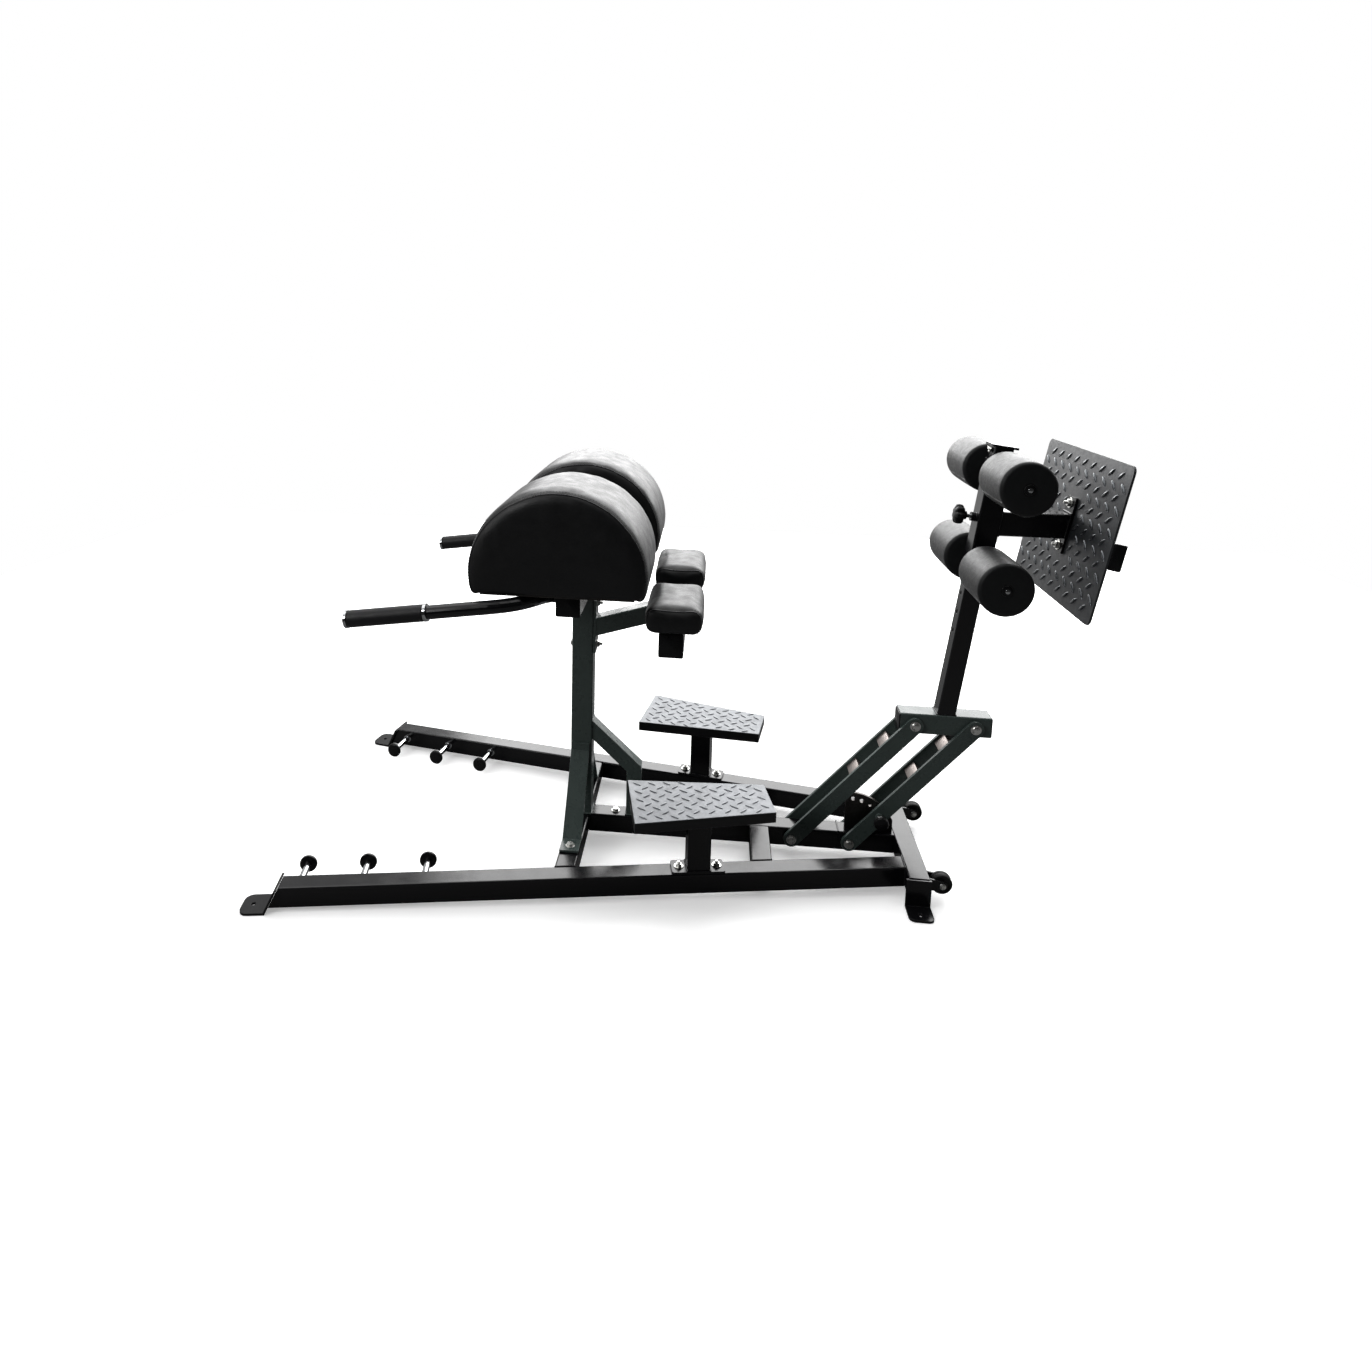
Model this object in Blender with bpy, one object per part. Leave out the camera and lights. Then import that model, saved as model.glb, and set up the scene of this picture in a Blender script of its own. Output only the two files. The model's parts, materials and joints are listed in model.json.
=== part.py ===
"""Glute-ham roman chair: splayed tube base, split thigh pads, seat pads, foot steps and a
parallel-link rear post that carries the ankle rollers and the foot plate.

Metres, +Z up, +X toward the foot plate, +Y to the right of a user who faces -X.
Every tube is hollow and open at its ends; neighbours stand GAP apart where they touch."""

import math

import bmesh
import bpy
from mathutils import Matrix, Vector

GAP = 0.0003            # play between touching pieces
WALL = 0.003            # frame tube wall
CORNER = 0.004          # outer corner radius of square tube
HOLE_SIDES = 16         # facets of a drilled hole

# base frame
TUBE = 0.050            # base tube, square
RAIL_Y0 = 0.2421        # rail centreline at X = 0
RAIL_SPLAY = 0.1837     # rail centreline moves in by this much per metre of X
BASE_TOP0 = 0.0678      # top of the base tubes at X = 0
BASE_RISE = 0.0091      # rise of the base tubes per metre of X
RAIL_FRONT = -0.900
RAIL_SLANT = 0.024      # how far the slanted front end leans forward at its foot
CROSSBAR_X = -0.239
MID_BAR_X = 0.235
REAR_BAR_X = 0.604
REAR_BAR_HALF = 0.200
FOOT_PLATE_T = 0.006
FOOT_TAB = 0.0576
FOOT_HOLE_R = 0.0055
PEG_X = (-0.854, -0.711, -0.567)
PEG_ROD_R = 0.008
PEG_LENGTH = 0.088
PEG_CAP_R = 0.021
PEG_CAP_T = 0.010

# wheels
WHEEL_X, WHEEL_Y, WHEEL_Z = 0.664, 0.159, 0.042
WHEEL_R, WHEEL_W = 0.025, 0.022
WHEEL_AXLE_R = 0.005

# upright, brace and straps
UPRIGHT_X = -0.237
UPRIGHT_DX, UPRIGHT_DY = 0.056, 0.050
UPRIGHT_TOP = 0.688
BRACE = 0.038
BRACE_HIGH_Z = 0.2995   # brace centreline where it meets the upright
BRACE_ELBOW = (-0.097, 0.198)
STRAP_T = 0.005
STRAP_W = 0.048
STRAP_HIGH_Z = 0.245
STRAP_FOOT_Y = (0.158, 0.206)
SPINE_BOLT_X = -0.145

# pads, cross tubes and handles
PAD_BAR_DX, PAD_BAR_DZ, PAD_BAR_HALF = 0.058, 0.070, 0.255
PAD_BOARD_T = 0.015
PAD_IN, PAD_OUT = 0.064, 0.350
PAD_X, PAD_HALF = -0.252, 0.209
PAD_FLAT, PAD_SPRING, PAD_RISE = 0.7745, 0.802, 0.202
PAD_EDGE = 0.016        # rounding of the pad's end faces
SEAT_BAR_X, SEAT_BAR_DX, SEAT_BAR_DZ, SEAT_BAR_TOP = 0.002, 0.058, 0.060, 0.664
SEAT_PAD_X, SEAT_PAD_HALF = 0.0075, 0.0675
SEAT_PAD_IN, SEAT_PAD_OUT = 0.055, 0.284
SEAT_PAD_BOTTOM, SEAT_PAD_TOP = 0.6643, 0.730
SEAT_PAD_EDGE = 0.017
ARM_H, ARM_W = 0.046, 0.050
ARM_LOW_Z, ARM_HIGH_Z = 0.584, 0.638
FLANGE_T = 0.006
FLANGE_Z = (0.514, 0.656)
HANDLE_R, GRIP_R = 0.016, 0.020
HANDLE_Y = 0.354
HANDLE_TIP = (-0.736, 0.689)
GRIP_LENGTH = 0.198
HANDLE_STRAIGHT_X = -0.400
HANDLE_SLOPE = 0.139

# steps
STEP_X = 0.082
STEP_HALF = 0.1675
STEP_FRONT_W, STEP_REAR_W = 0.194, 0.124
STEP_TOP = 0.246
STEP_SKIRT, STEP_T = 0.026, 0.004
STEP_POST_DX, STEP_POST_DY = 0.056, 0.046
STEP_POST_X = 0.079
STEP_BASE = (0.128, 0.050, 0.006)

# parallel linkage
PIVOT_FRONT_X, PIVOT_REAR_X = 0.318, 0.464
LINK_DX, LINK_DZ = 0.292, 0.332
LINK_W, LINK_T = 0.040, 0.008
LINK_IN = 0.0285        # inner face of each bar from the middle plane
LINK_SPACERS = (0.245, 0.352)
SPACER = (0.022, 0.012)
PIVOT_R = 0.006
BOLT_HEAD_R, BOLT_HEAD_T = 0.0105, 0.006
CARRIAGE_X = (0.575, 0.795)
CARRIAGE_Z = (0.354, 0.406)
CARRIAGE_W = 0.054
SECTOR_R, SECTOR_HOLE_R, SECTOR_T = 0.125, 0.108, 0.008
SECTOR_FROM, SECTOR_TO = 26.0, 94.0
SECTOR_STEP, SECTOR_STOPS = 12.0, 5
LOCK_PIN_R = 0.005
LOCK_BARREL = 0.006     # length of the lock pin's barrel
PULL = 0.010            # both pull pins are modelled drawn back by this much, clear of their holes

# rear post, sleeve, rollers and foot plate
POST = 0.0445
POST_X = 0.687
POST_LEAN = 7.5
POST_TOP = 1.087
POST_HOLE_R, POST_HOLE_PITCH, POST_HOLES = 0.0055, 0.0485, 7
SLEEVE_CLEAR, SLEEVE_WALL = 0.0005, 0.004
SLEEVE_Z = (0.765, 1.053)
ROLLER_Z = (0.795, 1.023)
ROLLER_IN, ROLLER_OUT, ROLLER_R = 0.063, 0.231, 0.062
ROLLER_BORE, AXLE_R = 0.0128, 0.0125
PIN_Z = 0.908
PIN_R, BARREL_R, BARREL_LENGTH = 0.0048, 0.011, 0.012
KNOB_R, KNOB_T = 0.025, 0.024
FOOT_ARM_Z, FOOT_ARM_H, FOOT_ARM_W = 0.901, 0.060, 0.050
PLATE_LEAN = 10.6
PLATE_X, PLATE_Z = 0.9435, 0.9045
PLATE_H, PLATE_HALF, PLATE_T, PLATE_CORNER = 0.363, 0.241, 0.005, 0.016
BACK_TUBE = (0.027, 0.060)
BACK_TUBE_DROP = 0.015
FOOT_FLANGE = (0.050, 0.140, 0.006)

X, Y, Z = Vector((1, 0, 0)), Vector((0, 1, 0)), Vector((0, 0, 1))
SIDES = (("left", -1.0), ("right", 1.0))

for _old in list(bpy.data.objects):
    bpy.data.objects.remove(_old, do_unlink=True)

PARTS = bpy.data.collections.new("roman_chair")
CUTTERS = bpy.data.collections.new("cutters")
bpy.context.scene.collection.children.link(PARTS)
bpy.context.scene.collection.children.link(CUTTERS)


def material(name, colour, roughness, metallic):
    """Principled material with a plain colour."""
    mat = bpy.data.materials.new(name)
    mat.use_nodes = True
    shader = mat.node_tree.nodes["Principled BSDF"]
    shader.inputs["Base Color"].default_value = (*colour, 1.0)
    shader.inputs["Roughness"].default_value = roughness
    shader.inputs["Metallic"].default_value = metallic
    return mat


def finish(kind, name):
    """One of the machine's finishes, as a material of the piece's own."""
    colour, roughness, metallic = {
        "black_paint": ((0.012, 0.012, 0.014), 0.22, 0.0),
        "slate_paint": ((0.060, 0.085, 0.080), 0.32, 0.0),
        "vinyl": ((0.014, 0.014, 0.015), 0.42, 0.0),
        "foam": ((0.018, 0.018, 0.019), 0.70, 0.0),
        "rubber": ((0.015, 0.015, 0.015), 0.60, 0.0),
        "plywood": ((0.022, 0.019, 0.017), 0.55, 0.0),
        "tread_steel": ((0.30, 0.32, 0.34), 0.38, 1.0),
        "dark_tread": ((0.055, 0.060, 0.062), 0.40, 0.6),
        "zinc": ((0.62, 0.62, 0.60), 0.30, 1.0),
        "chrome": ((0.80, 0.80, 0.80), 0.10, 1.0),
    }[kind]
    return material(name + "_" + kind, colour, roughness, metallic)


def make(name, mesh_data, kind):
    """Object in the parts collection from a bmesh, with outward normals."""
    bmesh.ops.remove_doubles(mesh_data, verts=mesh_data.verts, dist=0.00002)
    bmesh.ops.recalc_face_normals(mesh_data, faces=mesh_data.faces)
    mesh = bpy.data.meshes.new(name)
    mesh_data.to_mesh(mesh)
    mesh_data.free()
    obj = bpy.data.objects.new(name, mesh)
    if kind is None:
        CUTTERS.objects.link(obj)
        obj.hide_render = True
        obj.display_type = "WIRE"
    else:
        PARTS.objects.link(obj)
        mesh.materials.append(finish(kind, name))
    return obj


def loft(bm, rings, closed=False, caps=True):
    """Skins a list of equal-length point rings; closed joins the last ring to the first."""
    grid = [[bm.verts.new(p) for p in ring] for ring in rings]
    count = len(grid[0])
    pairs = len(grid) if closed else len(grid) - 1
    for i in range(pairs):
        a, b = grid[i], grid[(i + 1) % len(grid)]
        for j in range(count):
            k = (j + 1) % count
            bm.faces.new((a[j], a[k], b[k], b[j]))
    if caps and not closed:
        bm.faces.new(grid[0][::-1])
        bm.faces.new(grid[-1])
    return grid


def rounded_rect(width, height, radius, steps=3):
    """Outline of a rectangle with rounded corners, counter-clockwise."""
    points = []
    for cx, cy, start in ((1, 1, 0), (-1, 1, 90), (-1, -1, 180), (1, -1, 270)):
        for i in range(steps + 1):
            a = math.radians(start + 90.0 * i / steps)
            points.append((cx * (width / 2 - radius) + radius * math.cos(a),
                           cy * (height / 2 - radius) + radius * math.sin(a)))
    return points


def cut_ring(outline, origin, axis, side, up, plane_point, plane_normal):
    """Points of the outline carried along the axis until they meet a plane."""
    ring = []
    for u, v in outline:
        p = origin + side * u + up * v
        ring.append(p + axis * ((plane_point - p).dot(plane_normal) / axis.dot(plane_normal)))
    return ring


def tube(name, start, end, width, height, kind, up=Z, ends=(None, None), wall=WALL, radius=CORNER):
    """Hollow rectangular tube from start to end; ends gives the normal of each end cut."""
    start, end = Vector(start), Vector(end)
    axis = (end - start).normalized()
    side = up.cross(axis).normalized()
    lift = axis.cross(side).normalized()
    normals = [axis if n is None else Vector(n).normalized() for n in ends]
    outer = rounded_rect(width, height, radius)
    inner = rounded_rect(width - 2 * wall, height - 2 * wall, max(radius - wall, 0.001))
    rings = []
    for outline, order in ((outer, (0, 1)), (inner, (1, 0))):
        for i in order:
            rings.append(cut_ring(outline, start, axis, side, lift, (start, end)[i], normals[i]))
    bm = bmesh.new()
    loft(bm, rings, closed=True)
    return make(name, bm, kind)


def box(name, low, high, kind, bevel=0.0):
    """Solid box between two corners, with its long edges rounded when bevel is given."""
    bm = bmesh.new()
    bmesh.ops.create_cube(bm, size=1.0)
    low, high = Vector(low), Vector(high)
    for v in bm.verts:
        v.co = Vector(low[i] + (v.co[i] + 0.5) * (high[i] - low[i]) for i in range(3))
    if bevel:
        bmesh.ops.bevel(bm, geom=bm.edges[:], offset=bevel, segments=2, profile=0.5, affect="EDGES")
    return make(name, bm, kind)


def basis(axis, up=None):
    """Two unit vectors square to the axis."""
    axis = Vector(axis).normalized()
    hint = up or (Z if abs(axis.z) < 0.9 else X)
    side = hint.cross(axis).normalized()
    return side, axis.cross(side).normalized()


def turned(name, origin, axis, profile, kind, segments=32, bore=None):
    """Body of revolution: profile is (distance along, radius); bore makes it a ring."""
    origin, axis = Vector(origin), Vector(axis).normalized()
    side, lift = basis(axis)
    outline = list(profile)
    if bore:
        outline += [(profile[-1][0], bore), (profile[0][0], bore)]
    bm = bmesh.new()
    rings = []
    for along, radius in outline:
        ring = []
        for i in range(segments):
            a = 2 * math.pi * i / segments
            ring.append(origin + axis * along + (side * math.cos(a) + lift * math.sin(a)) * radius)
        rings.append(ring)
    loft(bm, rings, closed=bool(bore))
    return make(name, bm, kind)


def rod(name, start, end, radius, kind, segments=24):
    """Solid cylinder between two points."""
    start, end = Vector(start), Vector(end)
    length = (end - start).length
    return turned(name, start, end - start, [(0.0, radius), (length, radius)], kind, segments)


def slab(name, outline, thickness, frame, kind):
    """Plate with a closed outline, frame maps (u, v, w) to the world and w is the thickness."""
    bm = bmesh.new()
    rings = [[frame @ Vector((u, v, w)) for u, v in outline] for w in (-thickness / 2, thickness / 2)]
    loft(bm, rings)
    return make(name, bm, kind)


def axes(origin, u, v):
    """Matrix whose columns are u, v and their cross product, at an origin."""
    u, v = Vector(u).normalized(), Vector(v).normalized()
    w = u.cross(v)
    m = Matrix((u, v, w)).transposed().to_4x4()
    m.translation = Vector(origin)
    return m


def combine(obj, others, operation):
    """Applies Boolean modifiers in turn and drops the other operands."""
    for other in others:
        modifier = obj.modifiers.new("bool", "BOOLEAN")
        modifier.operation = operation
        modifier.solver = "EXACT"
        modifier.object = other
        bpy.context.view_layer.update()
        result = bpy.data.meshes.new_from_object(obj.evaluated_get(
            bpy.context.evaluated_depsgraph_get()))
        obj.modifiers.clear()
        old = obj.data
        obj.data = result
        obj.data.name = obj.name
        bpy.data.meshes.remove(old)
        bpy.data.objects.remove(other, do_unlink=True)
    tidy(obj)
    return obj


def tidy(obj):
    """Welds near-coincident vertices a Boolean leaves behind."""
    bm = bmesh.new()
    bm.from_mesh(obj.data)
    bmesh.ops.remove_doubles(bm, verts=bm.verts, dist=0.00001)
    bm.to_mesh(obj.data)
    bm.free()
    keep = obj.data.materials[0]
    obj.data.materials.clear()
    obj.data.materials.append(keep)


def cut(obj, cutters):
    return combine(obj, cutters, "DIFFERENCE")


def join(obj, others):
    return combine(obj, others, "UNION")


def drill(obj, holes):
    """Round holes through a piece: (point, axis, radius, depth)."""
    bm = bmesh.new()
    for point, axis, radius, depth in holes:
        side, lift = basis(axis)
        half = Vector(axis).normalized() * depth / 2
        angles = [2 * math.pi * i / HOLE_SIDES for i in range(HOLE_SIDES)]
        rim = [(side * math.cos(a) + lift * math.sin(a)) * radius for a in angles]
        loft(bm, [[Vector(point) + end + r for r in rim] for end in (-half, half)])
    return cut(obj, [make("drill", bm, None)])


def base_top(x):
    return BASE_TOP0 + BASE_RISE * x


def base_mid(x):
    return base_top(x) - TUBE / 2


def rail_y(x):
    return RAIL_Y0 - RAIL_SPLAY * x


def rail_axes(sign):
    """Unit vectors along a rail toward the rear, and square to it toward the outside."""
    along = Vector((1.0, -sign * RAIL_SPLAY, 0.0)).normalized()
    out = Vector((RAIL_SPLAY, sign, 0.0)).normalized()
    return along, out


def base_rail(label, sign):
    """Splayed side rail with a slanted front end."""
    along, _ = rail_axes(sign)
    rear = REAR_BAR_X - TUBE / 2 - GAP
    start = Vector((RAIL_FRONT, sign * rail_y(RAIL_FRONT), base_mid(RAIL_FRONT)))
    end = Vector((rear, sign * rail_y(rear), base_mid(rear)))
    slant = Vector((along.x * TUBE, along.y * TUBE, -RAIL_SLANT)).normalized()
    return tube("base_rail_" + label, start, end, TUBE, TUBE, "black_paint", ends=(slant, X))


def front_foot(label, sign):
    """Bent plate: slanted leg closing the rail's front end, flat tab on the floor."""
    along, out = rail_axes(sign)
    centre = Vector((RAIL_FRONT, sign * rail_y(RAIL_FRONT), 0.0))
    mid = base_mid(RAIL_FRONT)
    lean = RAIL_SLANT / TUBE
    t = FOOT_PLATE_T
    half = TUBE / 2

    def leg(z, offset):
        return -(mid - z) * lean - offset, z

    inner_high, inner_low = leg(mid + half, GAP), leg(t, GAP)
    outer_high, outer_low = leg(mid + half, GAP + t), leg(t, GAP + t)
    tab_end = outer_low[0] - FOOT_TAB
    outline = [inner_high, outer_high, outer_low, (tab_end, t), (tab_end, 0.0),
               (leg(0.0, GAP)[0], 0.0), inner_low]
    frame = axes(centre, along, Z)
    foot = slab("front_foot_" + label, outline, TUBE + 0.020, frame, "black_paint")
    tip = centre + along * tab_end
    trims = [corner_cutter(tip + out * side * (half + 0.010), along, out * -side, 0.020)
             for side in (-1, 1)]
    hole = tip + along * FOOT_TAB * 0.45
    return drill(cut(foot, trims), [(hole, Z, FOOT_HOLE_R, 0.04)])


def corner_cutter(corner, u, v, radius, depth=0.04):
    """Prism that rounds off the corner whose edges run along u and v."""
    over = 0.004
    outline = [(-over, -over), (radius, -over)]
    for i in range(7):
        a = math.radians(-90.0 - 90.0 * i / 6)
        outline.append((radius + radius * math.cos(a), radius + radius * math.sin(a)))
    outline.append((-over, radius))
    return slab("corner", outline, depth, axes(corner, u, v), None)


def band_peg(label, sign, index):
    """Rod with a disc cap, square to the rail on its inner side."""
    x = PEG_X[index]
    _, out = rail_axes(sign)
    root = Vector((x, sign * rail_y(x), base_mid(x))) - out * (TUBE / 2 + GAP)
    neck = PEG_LENGTH - PEG_CAP_T
    profile = [(0.0, PEG_ROD_R), (neck, PEG_ROD_R), (neck, PEG_CAP_R - 0.001),
               (neck + 0.001, PEG_CAP_R), (PEG_LENGTH - 0.002, PEG_CAP_R),
               (PEG_LENGTH, PEG_CAP_R - 0.003)]
    return turned("band_peg_%s_%d" % (label, index + 1), root, -out, profile, "chrome", 24)


def base_bars():
    """Crossbars and spine of the base frame."""
    half = TUBE / 2
    front, rear = CROSSBAR_X, REAR_BAR_X

    def rail_face(x, sign):
        """Where a bar at X meets the rail, and the rail's outward direction."""
        _, out = rail_axes(sign)
        return sign * rail_y(x) - (half + GAP) / out.y, out

    (left, left_out), (right, right_out) = rail_face(front, -1.0), rail_face(front, 1.0)
    z = base_mid(front)
    tube("front_crossbar", (front, left, z), (front, right, z), TUBE, TUBE, "black_paint",
         ends=(left_out, right_out))
    z = base_mid(rear)
    bar = tube("rear_crossmember", (rear, -REAR_BAR_HALF, z), (rear, REAR_BAR_HALF, z), TUBE,
               TUBE, "black_paint")
    join(bar, [piece for _, sign in SIDES for piece in wheel_mount(sign)])
    x0, x1 = front + half + GAP, rear - half - GAP
    spine = tube("spine_tube", (x0, 0, base_mid(x0)), (x1, 0, base_mid(x1)), TUBE, TUBE,
                 "black_paint", ends=(X, X))
    drill(spine, [((x, 0, base_mid(x)), Y, PIVOT_R + GAP, 0.1)
                  for x in (PIVOT_FRONT_X, PIVOT_REAR_X)])
    z = base_mid(MID_BAR_X)
    for label, sign in SIDES:
        edge, out = rail_face(MID_BAR_X, sign)
        tube("mid_crossbar_" + label, (MID_BAR_X, sign * (half + GAP), z), (MID_BAR_X, edge, z),
             TUBE, TUBE, "black_paint", ends=(Y, out))


def rear_foot(label, sign):
    """Angle plate on the crossmember's end: flat against it, tab turned out on the floor."""
    t = FOOT_PLATE_T
    reach = 0.058
    top = base_top(REAR_BAR_X) - 0.002
    outline = [(GAP, top), (GAP, 0.0), (reach, 0.0), (reach, t), (GAP + t, t), (GAP + t, top)]
    origin = Vector((REAR_BAR_X - 0.002, sign * REAR_BAR_HALF, 0.0))
    foot = slab("rear_foot_" + label, outline, 0.058, axes(origin, Y * sign, Z), "black_paint")
    tip = origin + Y * sign * reach
    trims = [corner_cutter(tip + X * side * 0.029, Y * -sign, X * -side, 0.014)
             for side in (-1, 1)]
    return drill(cut(foot, trims), [(origin + Y * sign * 0.038, Z, FOOT_HOLE_R, 0.04)])


def wheel_mount(sign):
    """Two ears for the crossmember's rear face with the transport wheel's axle between them."""
    rear = REAR_BAR_X + TUBE / 2 - 0.001
    ear_t, ear_r = 0.004, 0.012
    inner = WHEEL_W / 2 + 0.002
    outline = [(rear, WHEEL_Z - ear_r), (WHEEL_X, WHEEL_Z - ear_r)]
    for i in range(1, 8):
        a = math.radians(-90 + 180 * i / 8)
        outline.append((WHEEL_X + ear_r * math.cos(a), WHEEL_Z + ear_r * math.sin(a)))
    outline += [(WHEEL_X, WHEEL_Z + ear_r), (rear, WHEEL_Z + 0.018)]
    ears = []
    for side in (-1, 1):
        at = (0, sign * WHEEL_Y + side * (inner + ear_t / 2), 0)
        ears.append(slab("ear", outline, ear_t, axes(at, X, Z), None))
    reach = inner + ear_t + 0.003
    axle = rod("axle", (WHEEL_X, sign * WHEEL_Y - reach, WHEEL_Z),
               (WHEEL_X, sign * WHEEL_Y + reach, WHEEL_Z), WHEEL_AXLE_R, None)
    return ears + [axle]


def wheel(label, sign):
    """Small transport wheel with a bored hub and a rounded tread."""
    h = WHEEL_W / 2
    profile = [(-h, 0.020), (-h + 0.001, WHEEL_R - 0.001), (-h + 0.003, WHEEL_R),
               (h - 0.003, WHEEL_R), (h - 0.001, WHEEL_R - 0.001), (h, 0.020),
               (h - 0.003, 0.018), (h - 0.002, 0.011), (h, 0.010)]
    return turned("wheel_" + label, (WHEEL_X, sign * WHEEL_Y, WHEEL_Z), Y,
                  [(-h, 0.010), (-h + 0.002, 0.011), (-h + 0.003, 0.018)] + profile, "rubber",
                  24, bore=WHEEL_AXLE_R + GAP)


def uprights():
    """Upright, and the mitred brace that stands behind it on the spine."""
    foot = base_top(UPRIGHT_X) + 0.0012
    tube("upright", (UPRIGHT_X, 0, foot), (UPRIGHT_X, 0, UPRIGHT_TOP - GAP), UPRIGHT_DX,
         UPRIGHT_DY, "slate_paint", up=Y)
    rear = UPRIGHT_X + UPRIGHT_DX / 2 + GAP
    ex, ez = BRACE_ELBOW
    low = base_top(ex) + 0.0012
    high_point, elbow_point = Vector((rear, 0, BRACE_HIGH_Z)), Vector((ex, 0, ez))
    down = (elbow_point - high_point).normalized()
    mitre = (down - Z).normalized()
    loops = []
    for outline in (rounded_rect(BRACE, BRACE, 0.003),
                    rounded_rect(BRACE - 2 * WALL, BRACE - 2 * WALL, 0.001)):
        top = cut_ring(outline, high_point, down, Y, down.cross(Y), high_point, X)
        elbow = cut_ring(outline, elbow_point, down, Y, down.cross(Y), elbow_point, mitre)
        loops.append([top, elbow, [Vector((p.x, p.y, low)) for p in elbow]])
    bm = bmesh.new()
    loft(bm, loops[0] + loops[1][::-1], closed=True)
    make("brace", bm, "slate_paint")


def foot_strap(label, sign):
    """Bent strap from the upright's side down and out to a bolted foot on the crossbar."""
    z0 = base_top(CROSSBAR_X) + 0.0012
    t = STRAP_T
    y_in = UPRIGHT_DY / 2 + GAP
    foot_in, foot_out = STRAP_FOOT_Y
    high = STRAP_HIGH_Z
    outline = [(y_in, high + 0.022), (y_in, high - 0.004), (foot_in - 0.004, z0),
               (foot_out, z0), (foot_out, z0 + t), (foot_in, z0 + t),
               (y_in + t, high + 0.002), (y_in + t, high + 0.022)]
    strap = slab("foot_strap_" + label, outline, STRAP_W, axes((CROSSBAR_X, 0, 0), Y * sign, Z),
                 "slate_paint")
    middle = (foot_in + foot_out) / 2 + 0.002
    return drill(strap, [((CROSSBAR_X, sign * middle, z0), Z, 0.0055, 0.03)])


def pad_supports():
    """Cross tubes under both pad pairs and the bolted arm between them."""
    bar_x = UPRIGHT_X - 0.002
    z = UPRIGHT_TOP + PAD_BAR_DZ / 2
    tube("pad_cross_tube", (bar_x, -PAD_BAR_HALF, z), (bar_x, PAD_BAR_HALF, z), PAD_BAR_DX,
         PAD_BAR_DZ, "black_paint")
    z = SEAT_BAR_TOP - SEAT_BAR_DZ / 2
    tube("seat_cross_tube", (SEAT_BAR_X, -PAD_BAR_HALF, z), (SEAT_BAR_X, PAD_BAR_HALF, z),
         SEAT_BAR_DX, SEAT_BAR_DZ, "black_paint")
    face = UPRIGHT_X + UPRIGHT_DX / 2 + GAP
    low, high = FLANGE_Z
    arm = tube("seat_arm", (face + FLANGE_T - 0.001, 0, ARM_LOW_Z),
               (SEAT_BAR_X - SEAT_BAR_DX / 2 - GAP, 0, ARM_HIGH_Z), ARM_W, ARM_H, "slate_paint",
               ends=(X, X))
    join(arm, [box("flange", (face, -0.027, low), (face + FLANGE_T, 0.027, high), None, 0.001)])
    drill(arm, [((face, 0, z), X, 0.0055, 0.03) for z in (low + 0.018, high - 0.018)])


def cushion(name, outline, centre, floor, y_in, y_out, edge, sign):
    """Cushion whose side outline (X, Z about a centre) draws in toward both end faces."""
    quarter = [math.radians(90.0 * i / 4) for i in range(5)]
    ends = [(edge * (1 - math.sin(a)), edge * (1 - math.cos(a))) for a in quarter[::-1]]
    stations = [(y_in + d, inset) for d, inset in ends]
    stations += [(y_out - d, inset) for d, inset in ends[::-1]]
    half = max(x for x, _ in outline)
    rise = max(z for _, z in outline)
    rings = []
    for y, inset in stations:
        sx, sz = (half - inset) / half, (rise - inset) / rise
        rings.append([Vector((centre[0] + x * sx, sign * y,
                              max(centre[1] + z * sz, floor + inset * 0.35)))
                      for x, z in outline])
    bm = bmesh.new()
    loft(bm, rings)
    return make(name, bm, "vinyl")


def arc(cx, cz, rx, rz, start, end, count):
    """Points on an elliptical arc, both ends included."""
    points = []
    for i in range(count + 1):
        a = math.radians(start + (end - start) * i / count)
        points.append((cx + rx * math.cos(a), cz + rz * math.sin(a)))
    return points


def thigh_pad(label, sign):
    """Half-moon cushion on a plywood board: flat base, elliptical back."""
    corner = PAD_SPRING - PAD_FLAT
    outline = arc(0, 0, PAD_HALF, PAD_RISE, 0, 180, 26)
    outline += arc(-PAD_HALF + corner, 0, corner, corner, 180, 270, 5)[1:]
    outline += arc(PAD_HALF - corner, 0, corner, corner, 270, 360, 5)[:-1]
    cushion("thigh_pad_" + label, outline, (PAD_X, PAD_SPRING), PAD_FLAT, PAD_IN, PAD_OUT,
            PAD_EDGE, sign)
    top = PAD_FLAT - GAP
    ys = sorted((sign * (PAD_IN + 0.014), sign * (PAD_OUT - 0.014)))
    box("thigh_board_" + label, (PAD_X - PAD_HALF + 0.034, ys[0], UPRIGHT_TOP + PAD_BAR_DZ + GAP),
        (PAD_X + PAD_HALF - 0.034, ys[1], top), "plywood", 0.001)


def seat_pad(label, sign):
    """Small rectangular cushion behind the thigh pad."""
    height = SEAT_PAD_TOP - SEAT_PAD_BOTTOM
    r = 0.019
    outline = arc(SEAT_PAD_HALF - r, height / 2 - r, r, r, 0, 90, 4)
    outline += arc(-SEAT_PAD_HALF + r, height / 2 - r, r, r, 90, 180, 4)
    outline += arc(-SEAT_PAD_HALF + r, -height / 2 + r, r, r, 180, 270, 4)
    outline += arc(SEAT_PAD_HALF - r, -height / 2 + r, r, r, 270, 360, 4)
    cushion("seat_pad_" + label, outline, (SEAT_PAD_X, SEAT_PAD_BOTTOM + height / 2),
            SEAT_PAD_BOTTOM, SEAT_PAD_IN, SEAT_PAD_OUT, SEAT_PAD_EDGE, sign)


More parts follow.
